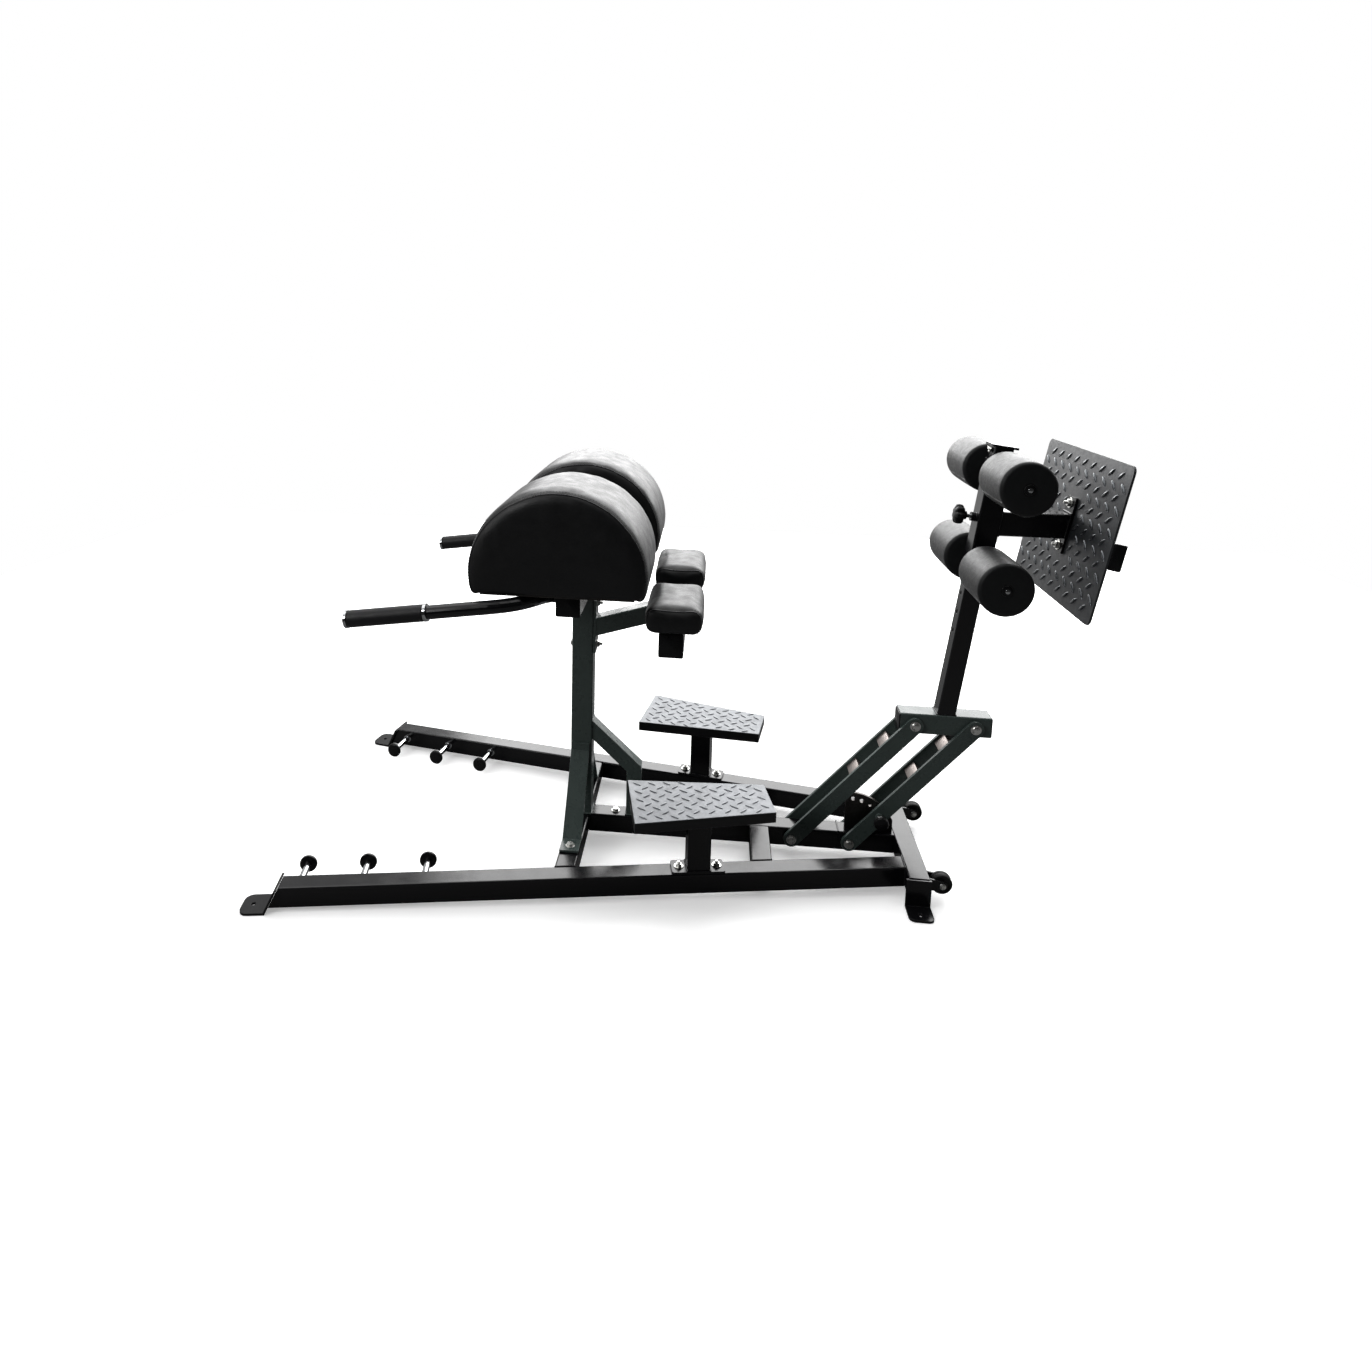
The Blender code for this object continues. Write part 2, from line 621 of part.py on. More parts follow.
def swept(name, path, radius, kind, segments=20):
    """Round bar along a smooth path of points."""
    path = [Vector(p) for p in path]
    bm = bmesh.new()
    rings = []
    for i, p in enumerate(path):
        ahead, behind = path[min(i + 1, len(path) - 1)], path[max(i - 1, 0)]
        tangent = (ahead - behind).normalized()
        side = Z.cross(tangent).normalized()
        lift = tangent.cross(side).normalized()
        rings.append([p + (side * math.cos(2 * math.pi * j / segments)
                           + lift * math.sin(2 * math.pi * j / segments)) * radius
                      for j in range(segments)])
    loft(bm, rings)
    return make(name, bm, kind)


def handle(label, sign):
    """Bent bar from the cross tube's front face forward to the grip, and the foam grip on it."""
    tip_x, tip_z = HANDLE_TIP

    def straight(x):
        return Vector((x, sign * HANDLE_Y, tip_z + (x - tip_x) * HANDLE_SLOPE))

    root = Vector((UPRIGHT_X - 0.002 - PAD_BAR_DX / 2 - GAP, sign * 0.222, 0.728))
    stub = root - X * 0.005
    knee = straight(HANDLE_STRAIGHT_X)
    reach = straight(HANDLE_STRAIGHT_X + 0.110)
    lead = root - X * 0.045
    path = [root, stub]
    for i in range(1, 13):
        t = i / 12
        path.append(stub * (1 - t) ** 3 + lead * 3 * t * (1 - t) ** 2
                    + reach * 3 * t * t * (1 - t) + knee * t ** 3)
    bar_end = tip_x + 0.004
    path.append(straight(bar_end))
    swept("handle_" + label, path, HANDLE_R, "black_paint")
    ahead = (straight(tip_x) - straight(0.0)).normalized()
    start = straight(tip_x) - ahead * GRIP_LENGTH
    r = GRIP_R
    turned("grip_" + label, start, ahead,
           [(0.0, r - 0.002), (0.002, r), (GRIP_LENGTH - 0.003, r), (GRIP_LENGTH, r - 0.003)],
           "foam", 28, bore=HANDLE_R + GAP)


def step_frame(sign):
    """Frame on the rail's centreline at the middle of the step: along the rail, outward, up."""
    along, out = rail_axes(sign)
    return Vector((STEP_X, sign * rail_y(STEP_X), 0)), along, out


def foot_step(label, sign):
    """Trapezoid tread pan with turned-down edges on a square post bolted to the rail."""
    origin, along, out = step_frame(sign)

    def pan(half, front, rear, top, bottom):
        rings = []
        for z in (bottom, top):
            rings.append([origin + along * u + out * v + Z * z for u, v in (
                (-half, -front), (half, -rear), (half, rear), (-half, front))])
        return rings

    t = STEP_T
    low = STEP_TOP - STEP_SKIRT
    bm = bmesh.new()
    loft(bm, pan(STEP_HALF, STEP_FRONT_W / 2, STEP_REAR_W / 2, STEP_TOP, low))
    bmesh.ops.bevel(bm, geom=bm.edges[:], offset=0.0015, segments=2, profile=0.5, affect="EDGES")
    tread = make("step_tread_" + label, bm, "tread_steel")
    bm = bmesh.new()
    loft(bm, pan(STEP_HALF - t, STEP_FRONT_W / 2 - t, STEP_REAR_W / 2 - t, STEP_TOP - t,
                 low - 0.01))
    cut(tread, [make("pan_inside", bm, None)])
    post_at = Vector((STEP_POST_X, sign * rail_y(STEP_POST_X), 0))
    length, width, thick = STEP_BASE
    bottom = base_top(STEP_POST_X) + length / 2 * BASE_RISE + GAP
    base = slab("step_post_" + label, rounded_rect(length, width, 0.006), thick,
                axes(post_at + Z * (bottom + thick / 2), along, out * sign), "black_paint")
    drill(base, [(post_at + along * d + Z * bottom, Z, 0.0055, 0.03) for d in (-0.046, 0.046)])
    shaft = tube("shaft", post_at + Z * (bottom + thick - 0.001),
                 post_at + Z * (STEP_TOP - t - GAP), STEP_POST_DX, STEP_POST_DY, None, up=out)
    return join(base, [shaft])


def pivots():
    """Lower pivot points on the spine and upper ones in the carriage."""
    lower = [Vector((x, 0, base_mid(x))) for x in (PIVOT_FRONT_X, PIVOT_REAR_X)]
    upper = [p + Vector((LINK_DX, 0, LINK_DZ)) for p in lower]
    return lower, upper


def pivot_bolt(name, point):
    """Through bolt with a domed head on the near side and a nut on the far side."""
    out = LINK_IN + LINK_T + GAP
    r, t = BOLT_HEAD_R, BOLT_HEAD_T
    profile = [(-out - t, r - 0.003), (-out - t + 0.002, r - 0.0005), (-out, r), (-out, PIVOT_R),
               (out, PIVOT_R), (out, r), (out + t - 0.001, r), (out + t, r - 0.002)]
    return turned(name, point, Y, profile, "zinc", 24)


def link(name, low, high, extras=()):
    """Two flat bars with round ends, joined by two spacer blocks."""
    along = (high - low).normalized()
    length = (high - low).length
    half = LINK_W / 2
    outline = arc(0, 0, half, half, 90, 270, 10) + arc(length, 0, half, half, -90, 90, 10)
    bars = []
    for side in (-1, 1):
        mid = side * (LINK_IN + LINK_T / 2)
        frame = axes(low + Y * mid, along, along.cross(Y))
        bars.append(slab(name, outline, LINK_T, frame, "slate_paint"))
    bar = bars[0]
    others = [bars[1]]
    sx, sz = SPACER
    for distance in LINK_SPACERS:
        block = rounded_rect(sx, sz, 0.001, 1)
        at = low + along * distance
        others.append(slab("spacer", block, 2 * LINK_IN + 0.004, axes(at, along, along.cross(Y)),
                           None))
    others += extras
    join(bar, others)
    return drill(bar, [(p, Y, PIVOT_R + GAP, 0.1) for p in (low, high)])


def lock_point(low_rear):
    """Where the rear link's lock pin crosses the sector at rest."""
    return low_rear + Vector((LINK_DX, 0, LINK_DZ)).normalized() * SECTOR_HOLE_R


def linkage():
    """Parallel links, their bolts, the selector sector and the lock pin."""
    lower, upper = pivots()
    link("front_link", lower[0], upper[0])
    lock = lock_point(lower[1])
    face = -(LINK_IN + LINK_T)
    barrel = turned("barrel", lock, Y, [(face - LOCK_BARREL, 0.009), (face + 0.002, 0.009)],
                    None, 20)
    rear = link("rear_link", lower[1], upper[1], [barrel])
    drill(rear, [(lock + Y * (face - 0.002), Y, LOCK_PIN_R + GAP, 0.034)])
    for name, point in (("pivot_bolt_low_front", lower[0]), ("pivot_bolt_low_rear", lower[1]),
                        ("pivot_bolt_high_front", upper[0]), ("pivot_bolt_high_rear", upper[1])):
        pivot_bolt(name, point)
    nose = -SECTOR_T / 2 - 0.0005
    out = face - LOCK_BARREL - PULL - GAP
    profile = [(nose, LOCK_PIN_R - 0.001), (nose - 0.001, LOCK_PIN_R), (out, LOCK_PIN_R),
               (out, 0.008), (out - 0.006, 0.009), (out - 0.008, 0.017), (out - 0.011, 0.019),
               (out - 0.021, 0.019), (out - 0.024, 0.016)]
    turned("lock_pin", lock, Y, profile, "black_paint", 28)
    sector_plate(lower[1])


def sector_plate(centre):
    """Quadrant plate on the spine with one lock hole for each position of the linkage."""
    floor = base_top(centre.x) + 0.0012 - centre.z
    rim = arc(0, 0, SECTOR_R, SECTOR_R, SECTOR_FROM, SECTOR_TO, 18)
    foot_x = math.cos(math.radians(SECTOR_FROM)) * SECTOR_R
    outline = rim + [(rim[-1][0], floor), (foot_x, floor)]
    plate = slab("sector_plate", outline, SECTOR_T, axes(centre, X, Z), "zinc")
    rest = math.degrees(math.atan2(LINK_DZ, LINK_DX))
    holes = []
    for i in range(SECTOR_STOPS):
        a = math.radians(rest + SECTOR_STEP * (i - 1))
        at = centre + Vector((math.cos(a), 0, math.sin(a))) * SECTOR_HOLE_R
        holes.append((at, Y, LOCK_PIN_R + GAP, 0.03))
    return drill(plate, holes)


def post_axes():
    """Foot of the post's centreline, its direction, and its forward normal."""
    lean = math.radians(POST_LEAN)
    axis = Vector((math.sin(lean), 0, math.cos(lean)))
    return Vector((POST_X, 0, CARRIAGE_Z[1])), axis, Vector((-axis.z, 0, axis.x))


def on_post(z):
    """Point on the post's centreline at a height."""
    foot, axis, _ = post_axes()
    return foot + axis * ((z - foot.z) / axis.z)


def carriage():
    """Box carriage across the two upper pivots, with the leaning post welded on it."""
    (x0, x1), (z0, z1) = CARRIAGE_X, CARRIAGE_Z
    z = (z0 + z1) / 2
    block = tube("carriage", (x0, 0, z), (x1, 0, z), CARRIAGE_W, z1 - z0, "slate_paint")
    _, upper = pivots()
    drill(block, [(p, Y, PIVOT_R + GAP, 0.1) for p in upper])
    foot, axis, front = post_axes()
    post = tube("rear_post", foot + Z * GAP, on_post(POST_TOP), POST, POST, "black_paint",
                up=front, ends=(Z, None))
    top = on_post(POST_TOP) + axis * 0.002
    join(post, [slab("cap", rounded_rect(0.062, 0.062, 0.006), 0.006, axes(top, Y, front), None)])
    first = on_post(PIN_Z)
    holes = []
    for i in range(POST_HOLES):
        holes.append((first - axis * POST_HOLE_PITCH * i, front, POST_HOLE_R, 0.06))
    drill(post, holes)


def sleeve():
    """Square sleeve with four stub axles and the barrel of its pull pin."""
    _, axis, front = post_axes()
    low, high = (on_post(z) for z in SLEEVE_Z)
    inner = POST + 2 * SLEEVE_CLEAR
    outer = inner + 2 * SLEEVE_WALL
    body = tube("sleeve", low, high, outer, outer, "black_paint", up=front, wall=SLEEVE_WALL)
    stubs = []
    for z in ROLLER_Z:
        for _, sign in SIDES:
            at = on_post(z)
            stubs.append(turned("stub", at, Y * sign,
                                [(outer / 2 - 0.002, AXLE_R), (ROLLER_OUT + 0.001, AXLE_R)],
                                None, 28))
    pin = on_post(PIN_Z)
    barrel = turned("barrel", pin, front,
                    [(outer / 2 - 0.002, BARREL_R), (outer / 2 + BARREL_LENGTH, BARREL_R)],
                    None, 24)
    join(body, stubs + [barrel])
    drill(body, [(pin + front * (inner / 2 + 0.02), front, PIN_R + GAP, 0.05)])
    end = outer / 2 + BARREL_LENGTH + PULL + GAP
    reach = POST / 2 + SLEEVE_CLEAR
    profile = [(reach, PIN_R - 0.001), (reach + 0.001, PIN_R), (end, PIN_R), (end, 0.010),
               (end + 0.006, 0.011), (end + 0.009, KNOB_R - 0.003), (end + 0.011, KNOB_R),
               (end + 0.006 + KNOB_T - 0.006, KNOB_R), (end + 0.006 + KNOB_T, KNOB_R - 0.006)]
    turned("height_pin", pin, front, profile, "black_paint", 36)
    return outer


def rollers():
    """Four bored foam rollers with rounded shoulders."""
    for level, z in zip(("lower", "upper"), ROLLER_Z):
        for label, sign in SIDES:
            a, b, r = ROLLER_IN, ROLLER_OUT, ROLLER_R
            profile = [(a, r - 0.010), (a + 0.003, r - 0.003), (a + 0.010, r),
                       (b - 0.010, r), (b - 0.003, r - 0.003), (b, r - 0.010)]
            turned("roller_%s_%s" % (level, label), on_post(z), Y * sign, profile, "foam", 40,
                   bore=ROLLER_BORE)


def foot_end(sleeve_width):
    """Arm from the sleeve to the leaning tread plate, with the tube behind the plate."""
    lean = math.radians(PLATE_LEAN)
    up = Vector((math.sin(lean), 0, math.cos(lean)))
    normal = Vector((up.z, 0, -up.x))
    centre = Vector((PLATE_X, 0, PLATE_Z))
    _, axis, front = post_axes()
    back = on_post(FOOT_ARM_Z) - front * (sleeve_width / 2 + GAP)
    back += axis * ((FOOT_ARM_Z - back.z) / axis.z)
    flange_w, flange_h, flange_t = FOOT_FLANGE
    arm_hit = centre + up * ((FOOT_ARM_Z - PLATE_Z) / up.z)
    flange_mid = arm_hit - normal * (PLATE_T / 2 + GAP + flange_t / 2)
    face = flange_mid - normal * (flange_t / 2 - 0.001)
    arm = tube("foot_arm", (back.x, 0, FOOT_ARM_Z), (face.x, 0, FOOT_ARM_Z), FOOT_ARM_W,
               FOOT_ARM_H, "black_paint", ends=(front, normal))
    join(arm, [slab("flange", rounded_rect(flange_w, flange_h, 0.006), flange_t,
                    axes(flange_mid, Y, up), None)])
    bolts = [flange_mid + up * d for d in (-0.053, 0.053)]
    drill(arm, [(p, normal, 0.0055, 0.03) for p in bolts])
    plate = slab("foot_plate", rounded_rect(2 * PLATE_HALF, PLATE_H, PLATE_CORNER, 4), PLATE_T,
                 axes(centre, Y, up), "dark_tread")
    drill(plate, [(p, normal, 0.0055, 0.04) for p in bolts])
    thick, tall = BACK_TUBE
    middle = arm_hit - up * BACK_TUBE_DROP + normal * (PLATE_T / 2 + GAP + thick / 2)
    tube("foot_back_tube", middle - Y * PLATE_HALF, middle + Y * PLATE_HALF, thick, tall,
         "black_paint", up=up, ends=(Y, Y), wall=0.0025, radius=0.003)


def joint_origins():
    """Point on the joint axis of each moving piece, and the piece that carries it."""
    lower, upper = pivots()
    spots = {"front_link": (lower[0], None), "rear_link": (lower[1], None),
             "carriage": (upper[0], "front_link"), "sleeve": (on_post(PIN_Z), "carriage"),
             "height_pin": (on_post(PIN_Z), "sleeve"),
             "lock_pin": (lock_point(lower[1]), "rear_link")}
    for level, z in zip(("lower", "upper"), ROLLER_Z):
        for label, _ in SIDES:
            spots["roller_%s_%s" % (level, label)] = (on_post(z), "sleeve")
    for label, sign in SIDES:
        spots["wheel_" + label] = (Vector((WHEEL_X, sign * WHEEL_Y, WHEEL_Z)), None)
    for name in ("rear_post", "pivot_bolt_high_front", "pivot_bolt_high_rear"):
        spots[name] = (upper[0], "carriage")
    for name in ("foot_arm", "foot_plate", "foot_back_tube"):
        spots[name] = (on_post(PIN_Z), "sleeve")
    return spots


def set_origins():
    """Origins on the joint axes, or at the middle of a fixed piece, and the carried pieces
    parented to what carries them."""
    spots = joint_origins()
    for obj in PARTS.objects:
        corners = [Vector(c) for c in obj.bound_box]
        point, carrier = spots.get(obj.name, (sum(corners, Vector()) / len(corners), None))
        obj.data.transform(Matrix.Translation(-point))
        obj.location = point
        if carrier:
            obj.parent = PARTS.objects[carrier]
            obj.location = point - spots[carrier][0]


base_bars()
for _label, _sign in SIDES:
    base_rail(_label, _sign)
    front_foot(_label, _sign)
    rear_foot(_label, _sign)
    wheel(_label, _sign)
    for _index in range(len(PEG_X)):
        band_peg(_label, _sign, _index)
    foot_strap(_label, _sign)
    thigh_pad(_label, _sign)
    seat_pad(_label, _sign)
    handle(_label, _sign)
    foot_step(_label, _sign)
uprights()
pad_supports()
linkage()
carriage()
SLEEVE_WIDTH = sleeve()
rollers()
foot_end(SLEEVE_WIDTH)

for _obj in list(CUTTERS.objects):
    bpy.data.objects.remove(_obj, do_unlink=True)
set_origins()
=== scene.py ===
"""Looks for the roman chair: finishes, cushions, tread pattern, fasteners, welds and studio, built
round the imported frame. Metres, in the frame's own axes: +X toward the foot plate, +Z up."""

import json
import math

import bmesh
import bpy
import numpy as np
from mathutils import Matrix, Vector
from mathutils.bvhtree import BVHTree


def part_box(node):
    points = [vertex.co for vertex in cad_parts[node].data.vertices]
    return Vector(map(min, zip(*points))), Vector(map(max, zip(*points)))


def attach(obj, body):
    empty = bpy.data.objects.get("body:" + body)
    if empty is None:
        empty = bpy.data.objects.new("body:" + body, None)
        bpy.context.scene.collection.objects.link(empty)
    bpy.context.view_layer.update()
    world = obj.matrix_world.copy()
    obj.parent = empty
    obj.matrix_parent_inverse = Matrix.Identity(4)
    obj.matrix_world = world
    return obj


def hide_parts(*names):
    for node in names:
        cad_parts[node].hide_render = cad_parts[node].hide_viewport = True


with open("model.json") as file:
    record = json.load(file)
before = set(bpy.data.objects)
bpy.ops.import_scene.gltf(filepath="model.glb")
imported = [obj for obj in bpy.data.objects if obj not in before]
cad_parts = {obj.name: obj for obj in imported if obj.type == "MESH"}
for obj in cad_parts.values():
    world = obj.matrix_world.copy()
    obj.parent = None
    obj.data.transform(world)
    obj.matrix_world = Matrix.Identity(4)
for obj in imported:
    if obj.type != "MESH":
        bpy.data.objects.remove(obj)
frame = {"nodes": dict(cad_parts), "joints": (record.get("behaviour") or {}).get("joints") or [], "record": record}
NODES = frame["nodes"]
JOINTS = {j["name"]: j for j in frame["joints"]}
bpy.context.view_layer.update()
X, Y, Z = Vector((1, 0, 0)), Vector((0, 1, 0)), Vector((0, 0, 1))
SIDES = (("left", -1.0), ("right", 1.0))
SCENE = bpy.context.scene


# ---------------------------------------------------------------- camera

def camera():
    """Camera at the viewing angle, with the small shift its framing needs."""
    yaw, pitch, roll = (math.radians(a) for a in (-6.64, 8.0, -0.94))
    ahead = Vector((math.sin(yaw) * math.cos(pitch), math.cos(yaw) * math.cos(pitch),
                    -math.sin(pitch)))
    right = Vector((math.cos(yaw), -math.sin(yaw), 0.0))
    down = ahead.cross(right)
    right, down = (right * math.cos(roll) + down * math.sin(roll),
                   down * math.cos(roll) - right * math.sin(roll))
    data = bpy.data.cameras.new("camera")
    data.sensor_width, data.lens = 36.0, 23.09
    data.shift_x, data.shift_y = 0.0547, -0.1751
    data.clip_end = 200.0
    obj = bpy.data.objects.new("camera", data)
    m = Matrix((right, -down, -ahead)).transposed().to_4x4()
    m.translation = Vector((0.082, -2.2, 1.369))
    obj.matrix_world = m
    SCENE.collection.objects.link(obj)
    SCENE.camera = obj


camera()


# ---------------------------------------------------------------- materials

class Finish:
    """A Principled material and short calls that add nodes to it."""

    def __init__(self, name, roughness=0.5, metallic=0.0, **sockets):
        self.mat = bpy.data.materials.new(name)
        self.mat.use_nodes = True
        self.tree = self.mat.node_tree
        self.shader = self.tree.nodes["Principled BSDF"]
        self.set(self.shader, Roughness=roughness, Metallic=metallic)
        self.set(self.shader, **{k.replace("_", " "): v for k, v in sockets.items()})
        self.coords = self.tree.nodes.new("ShaderNodeTexCoord").outputs["Object"]

    def set(self, node, **values):
        for key, value in values.items():
            node.inputs[key].default_value = value

    def link(self, a, b):
        self.tree.links.new(a, b)

    def stretched(self, scale):
        node = self.tree.nodes.new("ShaderNodeMapping")
        self.link(self.coords, node.inputs["Vector"])
        node.inputs["Scale"].default_value = scale
        return node.outputs["Vector"]

    def noise(self, scale, detail=3.0, rough=0.5, distortion=0.0, vector=None):
        node = self.tree.nodes.new("ShaderNodeTexNoise")
        self.link(vector or self.coords, node.inputs["Vector"])
        self.set(node, Scale=scale, Detail=detail, Roughness=rough, Distortion=distortion)
        return node.outputs["Fac"]

    def cells(self, scale):
        node = self.tree.nodes.new("ShaderNodeTexVoronoi")
        self.link(self.coords, node.inputs["Vector"])
        self.set(node, Scale=scale)
        return node.outputs["Distance"]

    def span(self, fac, low, high, to_low=0.0, to_high=1.0):
        node = self.tree.nodes.new("ShaderNodeMapRange")
        self.link(fac, node.inputs["Value"])
        for i, v in enumerate((low, high, to_low, to_high)):
            node.inputs[i + 1].default_value = v
        return node.outputs["Result"]

    def math(self, operation, a, b):
        node = self.tree.nodes.new("ShaderNodeMath")
        node.operation = operation
        for i, v in enumerate((a, b)):
            if isinstance(v, (int, float)):
                node.inputs[i].default_value = v
            else:
                self.link(v, node.inputs[i])
        return node.outputs[0]

    def mix(self, fac, a, b):
        node = self.tree.nodes.new("ShaderNodeMix")
        node.data_type = "RGBA"
        self.link(fac, node.inputs[0])
        for socket, v in ((node.inputs[6], a), (node.inputs[7], b)):
            if isinstance(v, tuple):
                socket.default_value = (*v, 1.0)
            else:
                self.link(v, socket)
        return node.outputs[2]

    def colour(self, value):
        self.link(value, self.shader.inputs["Base Color"])

    def rough(self, value):
        self.link(value, self.shader.inputs["Roughness"])

    def bump(self, *layers, base=None):
        """Chained bumps: (height, strength, distance)."""
        normal = base
        for height, strength, distance in layers:
            node = self.tree.nodes.new("ShaderNodeBump")
            self.set(node, Strength=strength, Distance=distance)
            self.link(height, node.inputs["Height"])
            if normal is not None:
                self.link(normal, node.inputs["Normal"])
            normal = node.outputs["Normal"]
        self.link(normal, self.shader.inputs["Normal"])

    def rounded(self, radius):
        """Normal with its edges rounded, and a mask that is 1 along those edges."""
        bevel = self.tree.nodes.new("ShaderNodeBevel")
        bevel.samples = 4
        self.set(bevel, Radius=radius)
        geometry = self.tree.nodes.new("ShaderNodeNewGeometry")
        dot = self.tree.nodes.new("ShaderNodeVectorMath")
        dot.operation = "DOT_PRODUCT"
        self.link(bevel.outputs["Normal"], dot.inputs[0])
        self.link(geometry.outputs["Normal"], dot.inputs[1])
        return bevel.outputs["Normal"], self.span(dot.outputs["Value"], 0.995, 0.90, 0.0, 1.0)

    def facing_up(self):
        """1 where a face looks up, 0 on sides and undersides."""
        geometry = self.tree.nodes.new("ShaderNodeNewGeometry")
        split = self.tree.nodes.new("ShaderNodeSeparateXYZ")
        self.link(geometry.outputs["Normal"], split.inputs[0])
        return self.span(split.outputs["Z"], 0.55, 0.75)


def scaled(colour, k):
    """A colour made darker or lighter."""
    return tuple(min(1.0, c * k) for c in colour)


def paint(name, colour, roughness, specular, wear_and_highlight):
    """Powder coat: fine orange peel, drifting tone, scuffs, and lighter edges that are partly chipped paint and
    partly painted highlight.
    """
    f = Finish(name, roughness, Specular_IOR_Level=specular)
    normal, edges = f.rounded(0.0012)
    tone = f.mix(f.noise(7.0, 4.0), scaled(colour, 0.75), scaled(colour, 1.3))
    scuff = f.span(f.noise(48.0, 9.0, 0.72, 0.6, f.stretched((1.0, 0.35, 0.6))), 0.68, 0.76, 0.0, 0.4)
    tone = f.mix(scuff, tone, tuple(c * 1.6 + 0.010 for c in colour))
    # Edges lightened along the bevel mask: partly chipped paint, partly a painted highlight on every edge.
    tone = f.mix(f.math("MULTIPLY", edges, f.span(f.noise(85.0, 5.0), 0.35, 0.6, 0.1, wear_and_highlight)), tone,
                 tuple(c * 2.5 + 0.10 for c in colour))
    f.colour(tone)
    f.rough(f.span(f.noise(26.0, 6.0, 0.65), 0.25, 0.75, roughness - 0.06, roughness + 0.10))
    f.bump((f.noise(750.0, 2.0), 0.10, 0.0003), (f.noise(2600.0, 1.0), 0.06, 0.0001), base=normal)
    return f.mat


def vinyl(name):
    """Pebbled vinyl: grain cells, soft drag lines and a slightly uneven shine."""
    f = Finish(name, 0.42, Specular_IOR_Level=0.32)
    f.colour(f.mix(f.noise(14.0, 5.0), (0.0028, 0.0028, 0.0032), (0.0070, 0.0070, 0.0076)))
    f.rough(f.span(f.noise(34.0, 6.0, 0.6), 0.3, 0.7, 0.36, 0.52))
    drag = f.noise(30.0, 5.0, 0.6, 0.4, f.stretched((0.25, 1.6, 1.0)))
    f.bump((drag, 0.14, 0.0022), (f.cells(620.0), 0.28, 0.0005), (f.noise(1900.0), 0.12, 0.0002))
    return f.mat


def foam(name, low, high):
    """Closed-cell foam skin: fine pores over a soft matte surface."""
    f = Finish(name, 0.50, Specular_IOR_Level=0.26)
    f.set(f.shader, **{"Sheen Weight": 0.02, "Sheen Roughness": 0.5})
    f.colour(f.mix(f.noise(55.0, 8.0, 0.7), low, high))
    f.rough(f.span(f.noise(90.0, 6.0, 0.7), 0.3, 0.7, 0.36, 0.52))
    f.bump((f.noise(16.0, 3.0), 0.10, 0.003), (f.cells(1500.0), 0.30, 0.0004))
    return f.mat


def metal(name, low, high, roughness, spread, scratch):
    """Bright metal with drawn lines and a patchy shine."""
    f = Finish(name, roughness, 1.0)
    f.colour(f.mix(f.noise(120.0, 5.0, 0.6), low, high))
    f.rough(f.span(f.noise(260.0, 5.0, 0.7, 0.0, f.stretched((1.0, 1.0, 0.12))), 0.3, 0.7,
                   roughness, roughness + spread))
    f.bump((f.noise(900.0, 3.0, 0.5, 0.0, f.stretched((1.0, 1.0, 0.08))), scratch, 0.0001))
    return f.mat


def tread(name, top_low, top_high, side, roughness, metallic):
    """Tread plate: mottled rolled top with darker patches, painted shade on the sides and undersides chosen by
    facing direction, and lighter edges that are partly rubbed metal and partly painted highlight.
    """
    f = Finish(name, roughness, metallic, Specular_IOR_Level=0.5)
    normal, edges = f.rounded(0.0010)
    mottled = f.mix(f.noise(210.0, 8.0, 0.75), top_low, top_high)
    patches_and_side_shade = f.mix(f.span(f.noise(22.0, 7.0, 0.7), 0.5, 0.62, 0.0, 0.35), mottled, scaled(top_low, 0.6))
    # Sides and undersides turn to the side colour by facing direction: painted shade.
    if side:
        patches_and_side_shade = f.mix(f.facing_up(), side, patches_and_side_shade)
    # Edges lightened along the bevel mask: partly rubbed metal, partly painted highlight.
    f.colour(f.mix(f.math("MULTIPLY", edges, 0.35), patches_and_side_shade, scaled(top_high, 1.4)))
    f.rough(f.span(f.noise(70.0, 7.0, 0.7), 0.3, 0.7, roughness - 0.07, roughness + 0.12))
    f.bump((f.noise(420.0, 5.0, 0.7), 0.22, 0.0005), base=normal)
    return f.mat


def moulded(name, colour, roughness, grain):
    """Moulded rubber or plastic with a fine spark texture."""
    f = Finish(name, roughness, Specular_IOR_Level=0.20)
    f.colour(f.mix(f.noise(40.0, 6.0), scaled(colour, 0.7), scaled(colour, 1.5)))
    f.rough(f.span(f.noise(65.0, 5.0), 0.3, 0.7, roughness - 0.07, roughness + 0.10))
    f.bump((f.noise(grain, 3.0, 0.6), 0.20, 0.0004))
    return f.mat


def wood(name):
    """Black-stained plywood: long grain on the faces and thin plies on the edges."""
    f = Finish(name, 0.62)
    grain = f.noise(60.0, 7.0, 0.65, 0.8, f.stretched((0.10, 1.2, 1.0)))
    plies = f.noise(420.0, 1.0, 0.3, 0.0, f.stretched((0.02, 0.02, 1.0)))
    face = f.mix(grain, (0.007, 0.006, 0.0055), (0.020, 0.017, 0.015))
    f.colour(f.mix(f.span(plies, 0.45, 0.55, 0.0, 0.45), face, (0.030, 0.024, 0.020)))
    f.rough(f.span(grain, 0.2, 0.8, 0.52, 0.75))
    f.bump((grain, 0.25, 0.0006), (plies, 0.20, 0.0004))
    return f.mat


